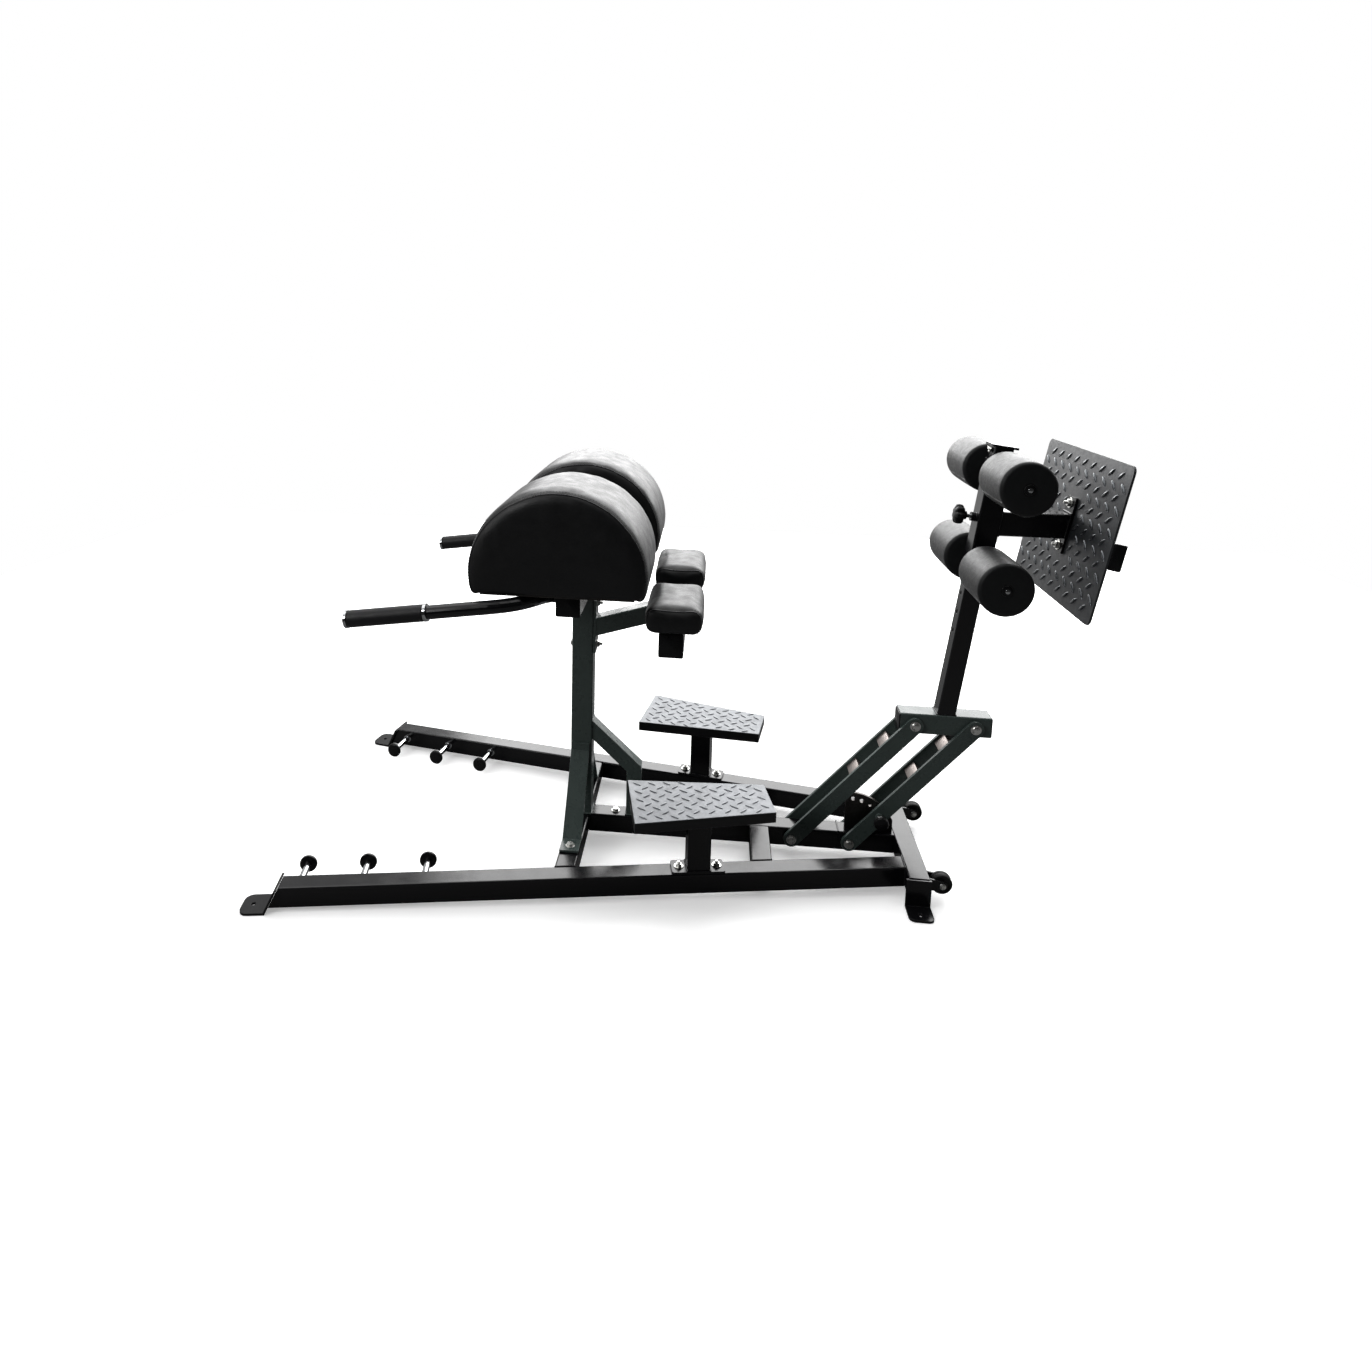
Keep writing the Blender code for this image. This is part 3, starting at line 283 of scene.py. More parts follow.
# The last argument sets how far the edges are lightened: partly chipped paint, partly painted highlight; slate's
# strong edge lightening is mostly painted highlight.
BLACK = paint("black_powder_coat", (0.0035, 0.0035, 0.0042), 0.17, 0.36, 0.22)
SLATE = paint("slate_powder_coat", (0.050, 0.067, 0.062), 0.26, 0.36, 0.95)
VINYL = vinyl("pebbled_vinyl")
THREAD = moulded("thread", (0.022, 0.022, 0.023), 0.55, 900.0)
WELT = moulded("vinyl_welt", (0.014, 0.014, 0.015), 0.30, 700.0)
ROLLER_FOAM = foam("roller_foam", (0.0035, 0.0035, 0.004), (0.010, 0.0105, 0.011))
GRIP_FOAM = foam("grip_foam", (0.004, 0.004, 0.0045), (0.012, 0.012, 0.013))
ZINC = metal("zinc_plate", (0.50, 0.50, 0.47), (0.80, 0.80, 0.78), 0.20, 0.20, 0.12)
CHROME = metal("chrome", (0.36, 0.37, 0.38), (0.56, 0.57, 0.58), 0.08, 0.08, 0.04)
# Step treads: the third colour darkens sides and undersides as painted shade.
STEP_TOP = tread("step_tread_plate", (0.085, 0.090, 0.098), (0.20, 0.21, 0.225),
                 (0.0035, 0.0035, 0.004), 0.40, 0.30)
# Step bars take a slightly lighter, shinier copy of the step's finish: painted highlight.
STEP_BARS_HIGHLIT = tread("step_tread_bars_highlit", (0.085, 0.090, 0.098), (0.22, 0.23, 0.245), None, 0.30, 0.45)
PLATE_TOP = tread("plate_tread", (0.011, 0.012, 0.0135), (0.032, 0.035, 0.039), None, 0.40, 0.08)
# Plate bars take a much lighter, shinier copy of the plate's finish: painted highlight.
PLATE_BARS_HIGHLIT = tread("plate_tread_bars_highlit", (0.030, 0.033, 0.036), (0.15, 0.16, 0.17), None, 0.20, 0.70)
RUBBER = moulded("wheel_rubber", (0.011, 0.011, 0.011), 0.50, 900.0)
PLASTIC = moulded("black_plastic", (0.0040, 0.0040, 0.0045), 0.30, 1300.0)
PLYWOOD = wood("plywood")
DARK_STEEL = metal("oiled_steel", (0.045, 0.042, 0.040), (0.13, 0.12, 0.115), 0.28, 0.20, 0.12)
RAW_STEEL = metal("raw_steel", (0.20, 0.175, 0.165), (0.36, 0.32, 0.30), 0.34, 0.20, 0.12)

LOOKS = {"painted_metal": BLACK, "leather": VINYL, "fabric": ROLLER_FOAM, "rubber": RUBBER,
         "wood": PLYWOOD, "brushed_steel": ZINC, "chrome": CHROME}
SLATE_NODES = ("upright", "brace", "seat_arm", "front_link", "rear_link", "carriage")


def dress_nodes():
    """A procedural finish on every CAD node that stays in view."""
    classes = {m["slot"]: m["class"] for m in frame["record"]["materials"]}
    for name, obj in NODES.items():
        look = LOOKS[classes[name]]
        if name.startswith("step_tread"):
            look = STEP_TOP
        elif name == "foot_plate":
            look = PLATE_TOP
        elif name == "sector_plate":
            look = DARK_STEEL
        elif name in SLATE_NODES or name.startswith("foot_strap"):
            look = SLATE
        obj.data.materials.clear()
        obj.data.materials.append(look)


# ---------------------------------------------------------------- mesh helpers

def piece(name, bm, mats, body, smooth=38.0):
    """Object from a bmesh that rides on a body, with the finishes it is given."""
    bmesh.ops.recalc_face_normals(bm, faces=bm.faces)
    mesh = bpy.data.meshes.new(name)
    bm.to_mesh(mesh)
    bm.free()
    for m in mats:
        mesh.materials.append(m)
    mesh.shade_smooth()
    mesh.set_sharp_from_angle(angle=math.radians(smooth))
    obj = bpy.data.objects.new(name, mesh)
    SCENE.collection.objects.link(obj)
    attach(obj, body)
    return obj


def square_to(axis, hint=None):
    """Two directions at right angles to an axis and to each other."""
    axis = axis.normalized()
    hint = hint or (Z if abs(axis.z) < 0.9 else X)
    side = hint.cross(axis).normalized()
    return side, axis.cross(side).normalized()


def skin(bm, rings, closed=False, index=0):
    """Faces between rings of equal length, with a cap on both ends unless the rings close up."""
    grid = [[bm.verts.new(p) for p in ring] for ring in rings]
    n = len(grid[0])
    for i in range(len(grid) if closed else len(grid) - 1):
        a, b = grid[i], grid[(i + 1) % len(grid)]
        for j in range(n):
            bm.faces.new((a[j], a[(j + 1) % n], b[(j + 1) % n], b[j])).material_index = index
    if not closed:
        bm.faces.new(grid[0][::-1]).material_index = index
        bm.faces.new(grid[-1]).material_index = index


def spin(bm, origin, axis, profile, sides=32, index=0, bore=None, lobes=0, depth=0.0):
    """Body of revolution from (distance, radius); a bore opens it and lobes scallop its rim."""
    side, lift = square_to(axis)
    axis = axis.normalized()
    outline = list(profile)
    if bore:
        outline += [(profile[-1][0], bore), (profile[0][0], bore)]
    rings = []
    for along, radius in outline:
        ring = []
        for i in range(sides):
            a = 2 * math.pi * i / sides
            r = radius * (1 - depth * (0.5 - 0.5 * math.cos(lobes * a)) ** 2) if lobes else radius
            ring.append(origin + axis * along + (side * math.cos(a) + lift * math.sin(a)) * r)
        rings.append(ring)
    skin(bm, rings, bool(bore), index)


def sweep(bm, path, radius, sides=8, closed=False, index=0):
    """Tube along points; radius is a number or a function of the point's number."""
    n = len(path)
    rings = []
    previous = None
    for i, p in enumerate(path):
        ahead = path[(i + 1) % n] if closed else path[min(i + 1, n - 1)]
        behind = path[i - 1] if (closed or i) else path[0]
        tangent = (ahead - behind).normalized()
        if previous is None:
            previous = square_to(tangent)[0]
        side = (previous - tangent * previous.dot(tangent)).normalized()
        previous = side
        lift = tangent.cross(side)
        r = radius(i) if callable(radius) else radius
        rings.append([p + (side * math.cos(2 * math.pi * j / sides)
                           + lift * math.sin(2 * math.pi * j / sides)) * r
                      for j in range(sides)])
    skin(bm, rings, closed, index)


def resample(points, step, closed=False):
    """Evenly spaced points along a polyline."""
    pts = [Vector(p) for p in points] + ([Vector(points[0])] if closed else [])
    lengths = [0.0]
    for a, b in zip(pts, pts[1:]):
        lengths.append(lengths[-1] + (b - a).length)
    count = max(2, round(lengths[-1] / step))
    out, k = [], 0
    for i in range(count if closed else count + 1):
        d = lengths[-1] * i / count
        while k < len(pts) - 2 and lengths[k + 1] < d:
            k += 1
        t = (d - lengths[k]) / max(lengths[k + 1] - lengths[k], 1e-9)
        out.append(pts[k].lerp(pts[k + 1], min(1.0, t)))
    return out


def ends(node):
    """Centres of a straight tube's two ends, along its longest side."""
    co = np.array([v.co for v in NODES[node].data.vertices], float)
    k = int(np.argmax(co.max(0) - co.min(0)))
    middle = (co[:, k].min() + co[:, k].max()) / 2
    return Vector(co[co[:, k] < middle].mean(0)), Vector(co[co[:, k] > middle].mean(0))


def middle(node):
    """Centre of a node's box."""
    lo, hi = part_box(node)
    return (lo + hi) / 2


# ---------------------------------------------------------------- where things are

SPINE = ends("spine_tube")
HALF = (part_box("front_crossbar")[1].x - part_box("front_crossbar")[0].x) / 2


def base_top(x):
    """Height of the sloping base tubes' upper faces."""
    a, b = SPINE
    return a.z + (b.z - a.z) * (x - a.x) / (b.x - a.x) + HALF


def rail_point(sign, x):
    """Point on a base rail's middle line."""
    a, b = ends("base_rail_left" if sign < 0 else "base_rail_right")
    return a.lerp(b, (x - a.x) / (b.x - a.x))


POST_AXIS = Vector(JOINTS["sleeve_slide"]["axis"]).normalized()
POST_FRONT = Vector((-POST_AXIS.z, 0, POST_AXIS.x))
ROLLER_LOW = middle("roller_lower_left")


def on_post(z):
    """Point at a height on the line along the post through the lower rollers' axis."""
    p = Vector((ROLLER_LOW.x, 0, ROLLER_LOW.z))
    return p + POST_AXIS * ((z - p.z) / POST_AXIS.z)


PLATE_NORMAL = max((f for f in NODES["foot_plate"].data.polygons if f.normal.x < 0),
                   key=lambda f: f.area).normal.normalized()
PLATE_UP = Vector((PLATE_NORMAL.z, 0, -PLATE_NORMAL.x)).normalized()
PLATE_MID = middle("foot_plate")
ARM_Z = 0.901               # height of the foot arm's middle line
SEAT_ARM_Z = 0.5845         # height of the seat arm's middle line at its flange
SPINE_BOLT_X = -0.145
HANDLE_Y, HANDLE_Z = 0.222, 0.728       # where a handle meets the pads' cross tube
LINK_BLOCKS = (0.245, 0.352)            # distances along a link from its lower pivot


# ---------------------------------------------------------------- cushions

CLOTH_FRAMES = 20
SMOOTHING_PASSES = 8
FLAT_BASE = 0.02        # height over which a cushion's swelling comes in, above its flat base
SWELL = 0.003           # furthest that air pressure moves a point


def remeshed(node, name, voxel, shrink):
    """Even quad mesh of a CAD cushion, drawn in a little from its box."""
    lo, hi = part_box(node)
    centre = (lo + hi) / 2
    half = (hi - lo) / 2
    mesh = NODES[node].data.copy()
    mesh.transform(Matrix.Translation(centre)
                   @ Matrix.Diagonal([(h - shrink) / h for h in half] + [1.0])
                   @ Matrix.Translation(-centre))
    obj = bpy.data.objects.new(name, mesh)
    SCENE.collection.objects.link(obj)
    modifier = obj.modifiers.new("remesh", "REMESH")
    modifier.mode, modifier.voxel_size = "VOXEL", voxel
    bpy.context.view_layer.update()
    result = bpy.data.meshes.new_from_object(
        obj.evaluated_get(bpy.context.evaluated_depsgraph_get()))
    obj.modifiers.clear()
    obj.data = result
    return obj


def inflate(obj, cap):
    """Swells the cover with air pressure, each point's travel held to a cap, and smooths it."""
    rest = np.array([v.co for v in obj.data.vertices], float)
    cloth = obj.modifiers.new("cloth", "CLOTH")
    s = cloth.settings
    s.quality, s.mass = 5, 0.3
    s.tension_stiffness = s.compression_stiffness = 18.0
    s.shear_stiffness, s.bending_stiffness = 8.0, 1.5
    s.use_pressure, s.uniform_pressure_force = True, 4.0
    s.effector_weights.gravity = 0.0
    cloth.point_cache.frame_start, cloth.point_cache.frame_end = 1, CLOTH_FRAMES
    for f in range(1, CLOTH_FRAMES + 1):
        SCENE.frame_set(f)
    moved = obj.evaluated_get(bpy.context.evaluated_depsgraph_get()).data
    swollen = np.array([v.co for v in moved.vertices], float)
    obj.modifiers.clear()
    SCENE.frame_set(1)
    shift = swollen - rest
    length = np.linalg.norm(shift, axis=1, keepdims=True)
    shift *= np.minimum(1.0, cap / np.maximum(length, 1e-9))
    floor = rest[:, 2].min()
    lift = np.clip((rest[:, 2] - floor) / FLAT_BASE, 0.0, 1.0)
    shift[:, 2] *= lift
    obj.data.vertices.foreach_set("co", (rest + shift).astype(np.float32).ravel())
    bm = bmesh.new()
    bm.from_mesh(obj.data)
    for _ in range(SMOOTHING_PASSES):
        bmesh.ops.smooth_vert(bm, verts=bm.verts, factor=0.5, use_axis_x=True, use_axis_y=True,
                              use_axis_z=True)
    bm.to_mesh(obj.data)
    bm.free()


def wrap_board(obj, board, drop=0.022):
    """Carries the cover's lower edge down over its board's sides, outside the board's outline."""
    lo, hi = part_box(board)
    co = np.array([v.co for v in obj.data.vertices], float)
    low = np.clip((co[:, 2].min() + 0.030 - co[:, 2]) / 0.018, 0.0, 1.0)
    past = np.maximum.reduce([lo.x - co[:, 0], co[:, 0] - hi.x, lo.y - co[:, 1], co[:, 1] - hi.y])
    sunk = co[:, 2] - drop * low * np.clip((past - 0.002) / 0.005, 0.0, 1.0)
    co[:, 2] = np.maximum(sunk, lo.z + 0.001)
    obj.data.vertices.foreach_set("co", co.astype(np.float32).ravel())


def covered(obj, node):
    """Vinyl finish on a cushion that stands in a CAD pad's place."""
    obj.data.materials.clear()
    obj.data.materials.append(VINYL)
    obj.data.shade_smooth()
    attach(obj, "frame")
    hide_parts(node)
    return obj


def cushion(node, name, voxel, shrink, board=None):
    """Swollen vinyl cushion made from a CAD pad."""
    obj = remeshed(node, name, voxel, shrink)
    inflate(obj, SWELL)
    if board:
        wrap_board(obj, board)
    obj.data.shade_smooth()
    smoother = obj.modifiers.new("subdivision", "SUBSURF")
    smoother.levels = smoother.render_levels = 1
    bpy.context.view_layer.update()
    fine = bpy.data.meshes.new_from_object(
        obj.evaluated_get(bpy.context.evaluated_depsgraph_get()))
    obj.modifiers.clear()
    obj.data = fine
    return covered(obj, node)


def mirrored(first, node, name):
    """The same cushion on the machine's other side."""
    mesh = first.data.copy()
    mesh.transform(Matrix.Diagonal((1, -1, 1, 1)))
    mesh.flip_normals()
    obj = bpy.data.objects.new(name, mesh)
    SCENE.collection.objects.link(obj)
    return covered(obj, node)


def ring_on(tree, centre, y, count, out=0.0):
    """Points round a cushion's skin in the plane at a Y, by casting rays from its middle."""
    points = []
    for i in range(count):
        a = 2 * math.pi * i / count
        ray = Vector((math.cos(a), 0, math.sin(a)))
        hit = tree.ray_cast(Vector((centre.x, y, centre.z)), ray)[0]
        if hit is not None:
            points.append(hit + ray * out)
    return points


def seams(obj, node, inset, stitch_gap):
    """Welt along both end edges of a cushion, with a row of stitches beside each."""
    lo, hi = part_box(node)
    centre = (lo + hi) / 2
    tree = BVHTree.FromObject(obj, bpy.context.evaluated_depsgraph_get())
    bm = bmesh.new()
    for y, inward in ((lo.y + inset, 1.0), (hi.y - inset, -1.0)):
        path = resample(ring_on(tree, centre, y, 260, -0.0004), 0.006, True)
        sweep(bm, path, 0.0019, 6, True, 0)
        row = resample(ring_on(tree, centre, y + inward * stitch_gap, 260, 0.0001), 0.0035, True)
        for a, b in list(zip(row, row[1:]))[::2]:
            sweep(bm, [a, a.lerp(b, 0.2), a.lerp(b, 0.8), b],
                  lambda i: (0.0002, 0.0006, 0.0006, 0.0002)[i], 4, False, 1)
    piece(node + "_seams", bm, [WELT, THREAD], "frame")


def pads():
    """Two thigh cushions over their boards and two seat cushions, with seams on all four."""
    first = cushion("thigh_pad_left", "thigh_cushion_left", 0.0065, 0.0015, "thigh_board_left")
    second = mirrored(first, "thigh_pad_right", "thigh_cushion_right")
    seams(first, "thigh_pad_left", 0.009, 0.008)
    seams(second, "thigh_pad_right", 0.009, 0.008)
    first = cushion("seat_pad_left", "seat_cushion_left", 0.0045, 0.0020)
    second = mirrored(first, "seat_pad_right", "seat_cushion_right")
    seams(first, "seat_pad_left", 0.010, 0.007)
    seams(second, "seat_pad_right", 0.010, 0.007)


# ---------------------------------------------------------------- rollers and grips

def foam_rollers():
    """Foam sleeve with rounded ends and two mould lines per roller, and the axle's end in it."""
    corner, inset, crown = 0.009, 0.0006, 0.0005
    for level in ("lower", "upper"):
        for label, sign in SIDES:
            node = "roller_%s_%s" % (level, label)
            lo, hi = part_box(node)
            c = (lo + hi) / 2
            length, r = hi.y - lo.y, (hi.z - lo.z) / 2
            out = Y * sign
            root = c - out * length / 2
            bm = bmesh.new()
            edge = []
            for i in range(6, -1, -1):
                a = math.radians(90.0 * i / 6)
                edge.append((corner * (1 - math.sin(a)), r - corner * (1 - math.cos(a)) - inset))
            profile = list(edge)
            for i in range(1, 12):
                t = i / 12
                profile.append((corner + (length - 2 * corner) * t,
                                r - inset + crown * math.sin(math.pi * t)))
            profile += [(length - d, q) for d, q in edge[::-1]]
            spin(bm, root, out, profile, 72, 0, bore=0.0130)
            for a in (math.radians(212), math.radians(32)):
                d = Vector((math.cos(a), 0, math.sin(a))) * (r - 0.0009)
                sweep(bm, [root + d + out * s for s in (0.010, length / 2, length - 0.010)],
                      0.0010, 6, False, 1)
            obj = piece("foam_" + node, bm, [ROLLER_FOAM, PLASTIC], node, 50.0)
            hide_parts(node)
            bm = bmesh.new()
            tip = c + out * (length / 2 + 0.0010)
            spin(bm, tip, out, [(0.0, 0.0122), (0.0016, 0.0122), (0.0022, 0.0112)], 32, 1)
            spin(bm, tip + out * 0.0022, out, [(0.0, 0.0055), (0.0022, 0.0052), (0.0034, 0.0036),
                                               (0.0038, 0.0012)], 24, 0)
            piece("axle_end_%s_%s" % (level, label), bm, [CHROME, PLASTIC], "sleeve")


def hand_grips():
    """Ribbed foam on each handle, a chrome ring round both its ends and a cap in its tip."""
    r, ring, ribs, bore = 0.0200, 0.009, 46, 0.0163
    for label, _ in SIDES:
        node = "grip_" + label
        tip, root = ends(node)
        ahead = (tip - root).normalized()
        length = (tip - root).length
        bm = bmesh.new()
        profile = [(ring, r - 0.002), (ring + 0.0015, r - 0.0004)]
        for i in range(ribs * 2):
            t = (i + 0.5) / (ribs * 2)
            profile.append((ring + 0.002 + (length - 2 * ring - 0.004) * t,
                            r - (0.0006 if i % 2 else 0.0)))
        profile += [(length - ring - 0.0015, r - 0.0004), (length - ring, r - 0.002)]
        spin(bm, root, ahead, profile, 40, 0, bore=bore)
        obj = piece("foam_" + node, bm, [GRIP_FOAM], "frame", 60.0)
        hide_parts(node)
        bm = bmesh.new()
        for start in (0.0, length - ring):
            spin(bm, root + ahead * (start + 0.0002), ahead,
                 [(0.0, r - 0.0012), (0.001, r + 0.0006), (ring - 0.0014, r + 0.0006),
                  (ring - 0.0004, r - 0.0012)], 48, 0, bore=bore)
        spin(bm, root + ahead * (length - 0.0030), ahead,
             [(0.0, 0.0160), (0.002, 0.0160), (0.0042, 0.0135), (0.0050, 0.006)], 36, 1)
        piece("grip_rings_" + label, bm, [CHROME, PLASTIC], "frame")


# ---------------------------------------------------------------- tread pattern

STEP_TREAD = (0.0365, 0.0185, (0.0235, 0.0056, 0.0019))     # pitch, row, bar
PLATE_TREAD = (0.048, 0.0255, (0.0330, 0.0086, 0.0026))
TREAD_ANGLE = 38.0


def lozenge(bm, at, u, v, n, angle, length, width, height):
    """Raised bar with pointed ends, standing on a plate."""
    along = u * math.cos(angle) + v * math.sin(angle)
    across = n.cross(along)
    rings = []
    for k, h in ((1.0, -0.0003), (0.86, height * 0.65), (0.55, height)):
        ring = []
        for i in range(12):
            a = 2 * math.pi * i / 12
            s = math.sin(a)
            ring.append(at + n * h + along * (length / 2 * k * math.cos(a))
                        + across * (width / 2 * k * s * abs(s) ** 0.25))
        rings.append(ring)
    skin(bm, rings)


def tread_bars(name, origin, u, v, n, size, inside, body, slot, mat, pitch, row, bar):
    """Alternating bars (length, width, height) over a plate, at half pitch in the next row."""
    bm = bmesh.new()
    rows = int(size[1] / row) + 2
    columns = int(size[0] / pitch) + 2
    for j in range(-rows, rows + 1):
        for i in range(-columns, columns + 1):
            a = pitch * (i + (0.5 if j % 2 else 0.0))
            b = row * j
            angle = math.radians(TREAD_ANGLE if j % 2 else -TREAD_ANGLE)
            if inside(a, b):
                lozenge(bm, origin + u * a + v * b, u, v, n, angle, *bar)
    piece(name, bm, [mat], body, 40.0)


def treads():
    """Raised bars on both steps and on the foot plate's front face, clear of the arm's flange."""
    for label, sign in SIDES:
        node = "step_tread_" + label
        co = np.array([v.co for v in NODES[node].data.vertices], float)
        top = co[:, 2].max()
        flat = co[co[:, 2] > top - 0.0001]
        a, b = rail_point(sign, flat[:, 0].min()), rail_point(sign, flat[:, 0].max())
        along = Vector((b.x - a.x, b.y - a.y, 0)).normalized()
        out = Vector((-along.y, along.x, 0))
        origin = Vector((*flat.mean(0)[:2], top))
        u = (flat[:, :2] - np.array(origin[:2])) @ np.array(along[:2])
        w = np.abs((flat[:, :2] - np.array(origin[:2])) @ np.array(out[:2]))
        half = u.max()
        front, rear = w[u < 0].max(), w[u > 0].max()

        def inside(s, t, half=half, front=front, rear=rear):
            limit = front + (rear - front) * (s + half) / (2 * half)
            return abs(s) < half - 0.011 and abs(t) < limit - 0.009

        tread_bars("tread_bars_" + label, origin, along, out, Z, (2 * half, 2 * front), inside,
                   "frame", node, STEP_BARS_HIGHLIT, *STEP_TREAD)
    lo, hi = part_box("foot_plate")
    wide = hi.y - lo.y
    tall = (hi.z - lo.z) / PLATE_UP.z
    face = PLATE_MID + PLATE_NORMAL * 0.0025

    def inside(s, t):
        clear = abs(s) < wide / 2 - 0.014 and abs(t) < tall / 2 - 0.014
        arm = abs(s) < 0.040 and abs(t) < 0.084
        return clear and not arm

    tread_bars("plate_bars", face, Y, PLATE_UP, PLATE_NORMAL, (wide, tall), inside, "sleeve",
               "foot_plate", PLATE_BARS_HIGHLIT, *PLATE_TREAD)


# ---------------------------------------------------------------- fasteners

def hex_bolt(bm, at, axis, size=0.0085, washer=0.0115, stub=0.0, dome=False):
    """Washer, hex head with a chamfered top, and the thread's end when it is a nut."""
    spin(bm, at, axis, [(0.0, washer - 0.0004), (0.0004, washer), (0.0013, washer),
                        (0.0017, washer - 0.0006)], 28, 0, bore=0.004)
    base = at + axis * 0.0017
    if dome:
        spin(bm, base, axis, [(0.0, size), (0.0016, size), (0.0038, size * 0.80),
                              (0.0052, size * 0.5), (0.0056, size * 0.2)], 28, 0)
        spin(bm, base + axis * 0.0054, axis, [(0.0, size * 0.36), (0.0004, size * 0.36)], 6, 1)
        return
    spin(bm, base, axis, [(0.0, size * 0.94), (0.0006, size), (0.0046, size), (0.0058, size * 0.84)],
         6, 0)
    if stub:
        spin(bm, base + axis * 0.005, axis,
             [(0.0, 0.0042)] + [(0.0012 + i * 0.0007, 0.0042 - 0.0005 * (i % 2))
                                for i in range(int(stub / 0.0007))] + [(stub + 0.002, 0.0030)], 20, 0)


def fasteners():
    """Bolts and nuts of the straps, steps, seat arm, spine, foot plate and post cap."""
    groups = {}

    def add(group, body, slot, *args, **kwargs):
        bm = groups.setdefault(group, (bmesh.new(), body, slot))[0]
        hex_bolt(bm, *args, **kwargs)

    for label, sign in SIDES:
        lo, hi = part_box("foot_strap_" + label)
        foot_y = sign * (max(abs(lo.y), abs(hi.y)) - 0.0220)
        at = Vector(((lo.x + hi.x) / 2, foot_y, lo.z + 0.0052))
        add("strap_bolts", "frame", "foot_strap_" + label, at, Z, size=0.0085)
        lo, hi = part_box("step_post_" + label)
        origin = rail_point(sign, (lo.x + hi.x) / 2)
        a, b = ends("base_rail_" + label)
        along = (b - a).normalized()
        for d in (-0.046, 0.046):
            p = origin + along * d
            p.z = lo.z + 0.0062
            add("step_bolts_" + label, "frame", "step_post_" + label, p, Z, size=0.0088,
                washer=0.0118, stub=0.004)
    lo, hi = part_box("seat_arm")
    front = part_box("upright")[0].x
    for z in (lo.z + 0.018, hi.z - 0.018):
        add("flange_bolts", "frame", "seat_arm", Vector((lo.x + 0.0062, 0, z)), X, stub=0.006)
        add("flange_bolts", "frame", "seat_arm", Vector((front - 0.0002, 0, z)), -X, dome=True)
    at = Vector((SPINE_BOLT_X, 0, base_top(SPINE_BOLT_X) + 0.0002))
    add("spine_bolt", "frame", "spine_tube", at, Z)
    hit = PLATE_MID + PLATE_UP * ((ARM_Z - PLATE_MID.z) / PLATE_UP.z)
    for d in (-0.053, 0.053):
        p = hit + PLATE_UP * d
        add("plate_nuts", "sleeve", "foot_plate", p + PLATE_NORMAL * 0.0090, PLATE_NORMAL,
            size=0.0095, washer=0.0130, stub=0.007)
        add("plate_nuts", "sleeve", "foot_plate", p - PLATE_NORMAL * 0.0027, -PLATE_NORMAL,
            size=0.0095, washer=0.0130, dome=True)
    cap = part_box("rear_post")[1]
    top = on_post(cap.z - 0.004)
    p = top - POST_AXIS * 0.003 + POST_FRONT * 0.0265
    add("cap_bolt", "carriage", "rear_post", p - POST_AXIS * 0.0062, -POST_AXIS, size=0.0062,
        washer=0.0075, stub=0.005)
    for group, (bm, body, slot) in groups.items():
        piece(group, bm, [ZINC, BLACK], body, 30.0)


def pivots():
    """A shank, two washers, a domed head and a nut in each pivot bolt's place."""
    for name in ("low_front", "low_rear", "high_front", "high_rear"):
        node = "pivot_bolt_" + name
        c = middle(node)
        lo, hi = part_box(node)
        body = "frame" if name.startswith("low") else "carriage"
        bm = bmesh.new()
        near, far = lo.y + 0.006, hi.y - 0.006
        spin(bm, Vector((c.x, near, c.z)), Y, [(0.0, 0.006), (far - near, 0.006)], 24, 0)
        for y, out in ((near, -Y), (far, Y)):
            at = Vector((c.x, y, c.z))
            spin(bm, at, out, [(0.0, 0.0125), (0.0004, 0.0130), (0.0012, 0.0130),
                               (0.0016, 0.0122)], 32, 0, bore=0.004)
            if out.y < 0:
                spin(bm, at + out * 0.0016, out, [(0.0, 0.0098), (0.0012, 0.0098), (0.0030, 0.0082),
                                                  (0.0040, 0.0052), (0.0043, 0.0020)], 32, 0)
            else:
                spin(bm, at + out * 0.0016, out, [(0.0, 0.0096), (0.0034, 0.0096),
                                                  (0.0042, 0.0084)], 6, 0)
        obj = piece("pivot_" + name, bm, [ZINC], body, 30.0)
        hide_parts(node)


def link_blocks():
    """Cross blocks between the two bars of each link, round the CAD spacers."""
    long, tall, reach, corner = 0.034, 0.028, 0.0283, 0.002
    for end in ("front", "rear"):
        low, high = middle("pivot_bolt_low_" + end), middle("pivot_bolt_high_" + end)
        along = (high - low).normalized()
        square = along.cross(Y)
        bm = bmesh.new()
        for distance in LINK_BLOCKS:
            at = low + along * distance
            rings = []
            for y in (-reach, reach):
                ring = []
                for cx, cy, start in ((1, 1, 0), (-1, 1, 90), (-1, -1, 180), (1, -1, 270)):
                    for a in (math.radians(start + turn) for turn in (0, 45, 90)):
                        ring.append(at + Y * y
                                    + along * (cx * (long / 2 - corner) + corner * math.cos(a))
                                    + square * (cy * (tall / 2 - corner) + corner * math.sin(a)))
                rings.append(ring)
            skin(bm, rings)
        piece(end + "_link_blocks", bm, [RAW_STEEL], end + "_link", 30.0)


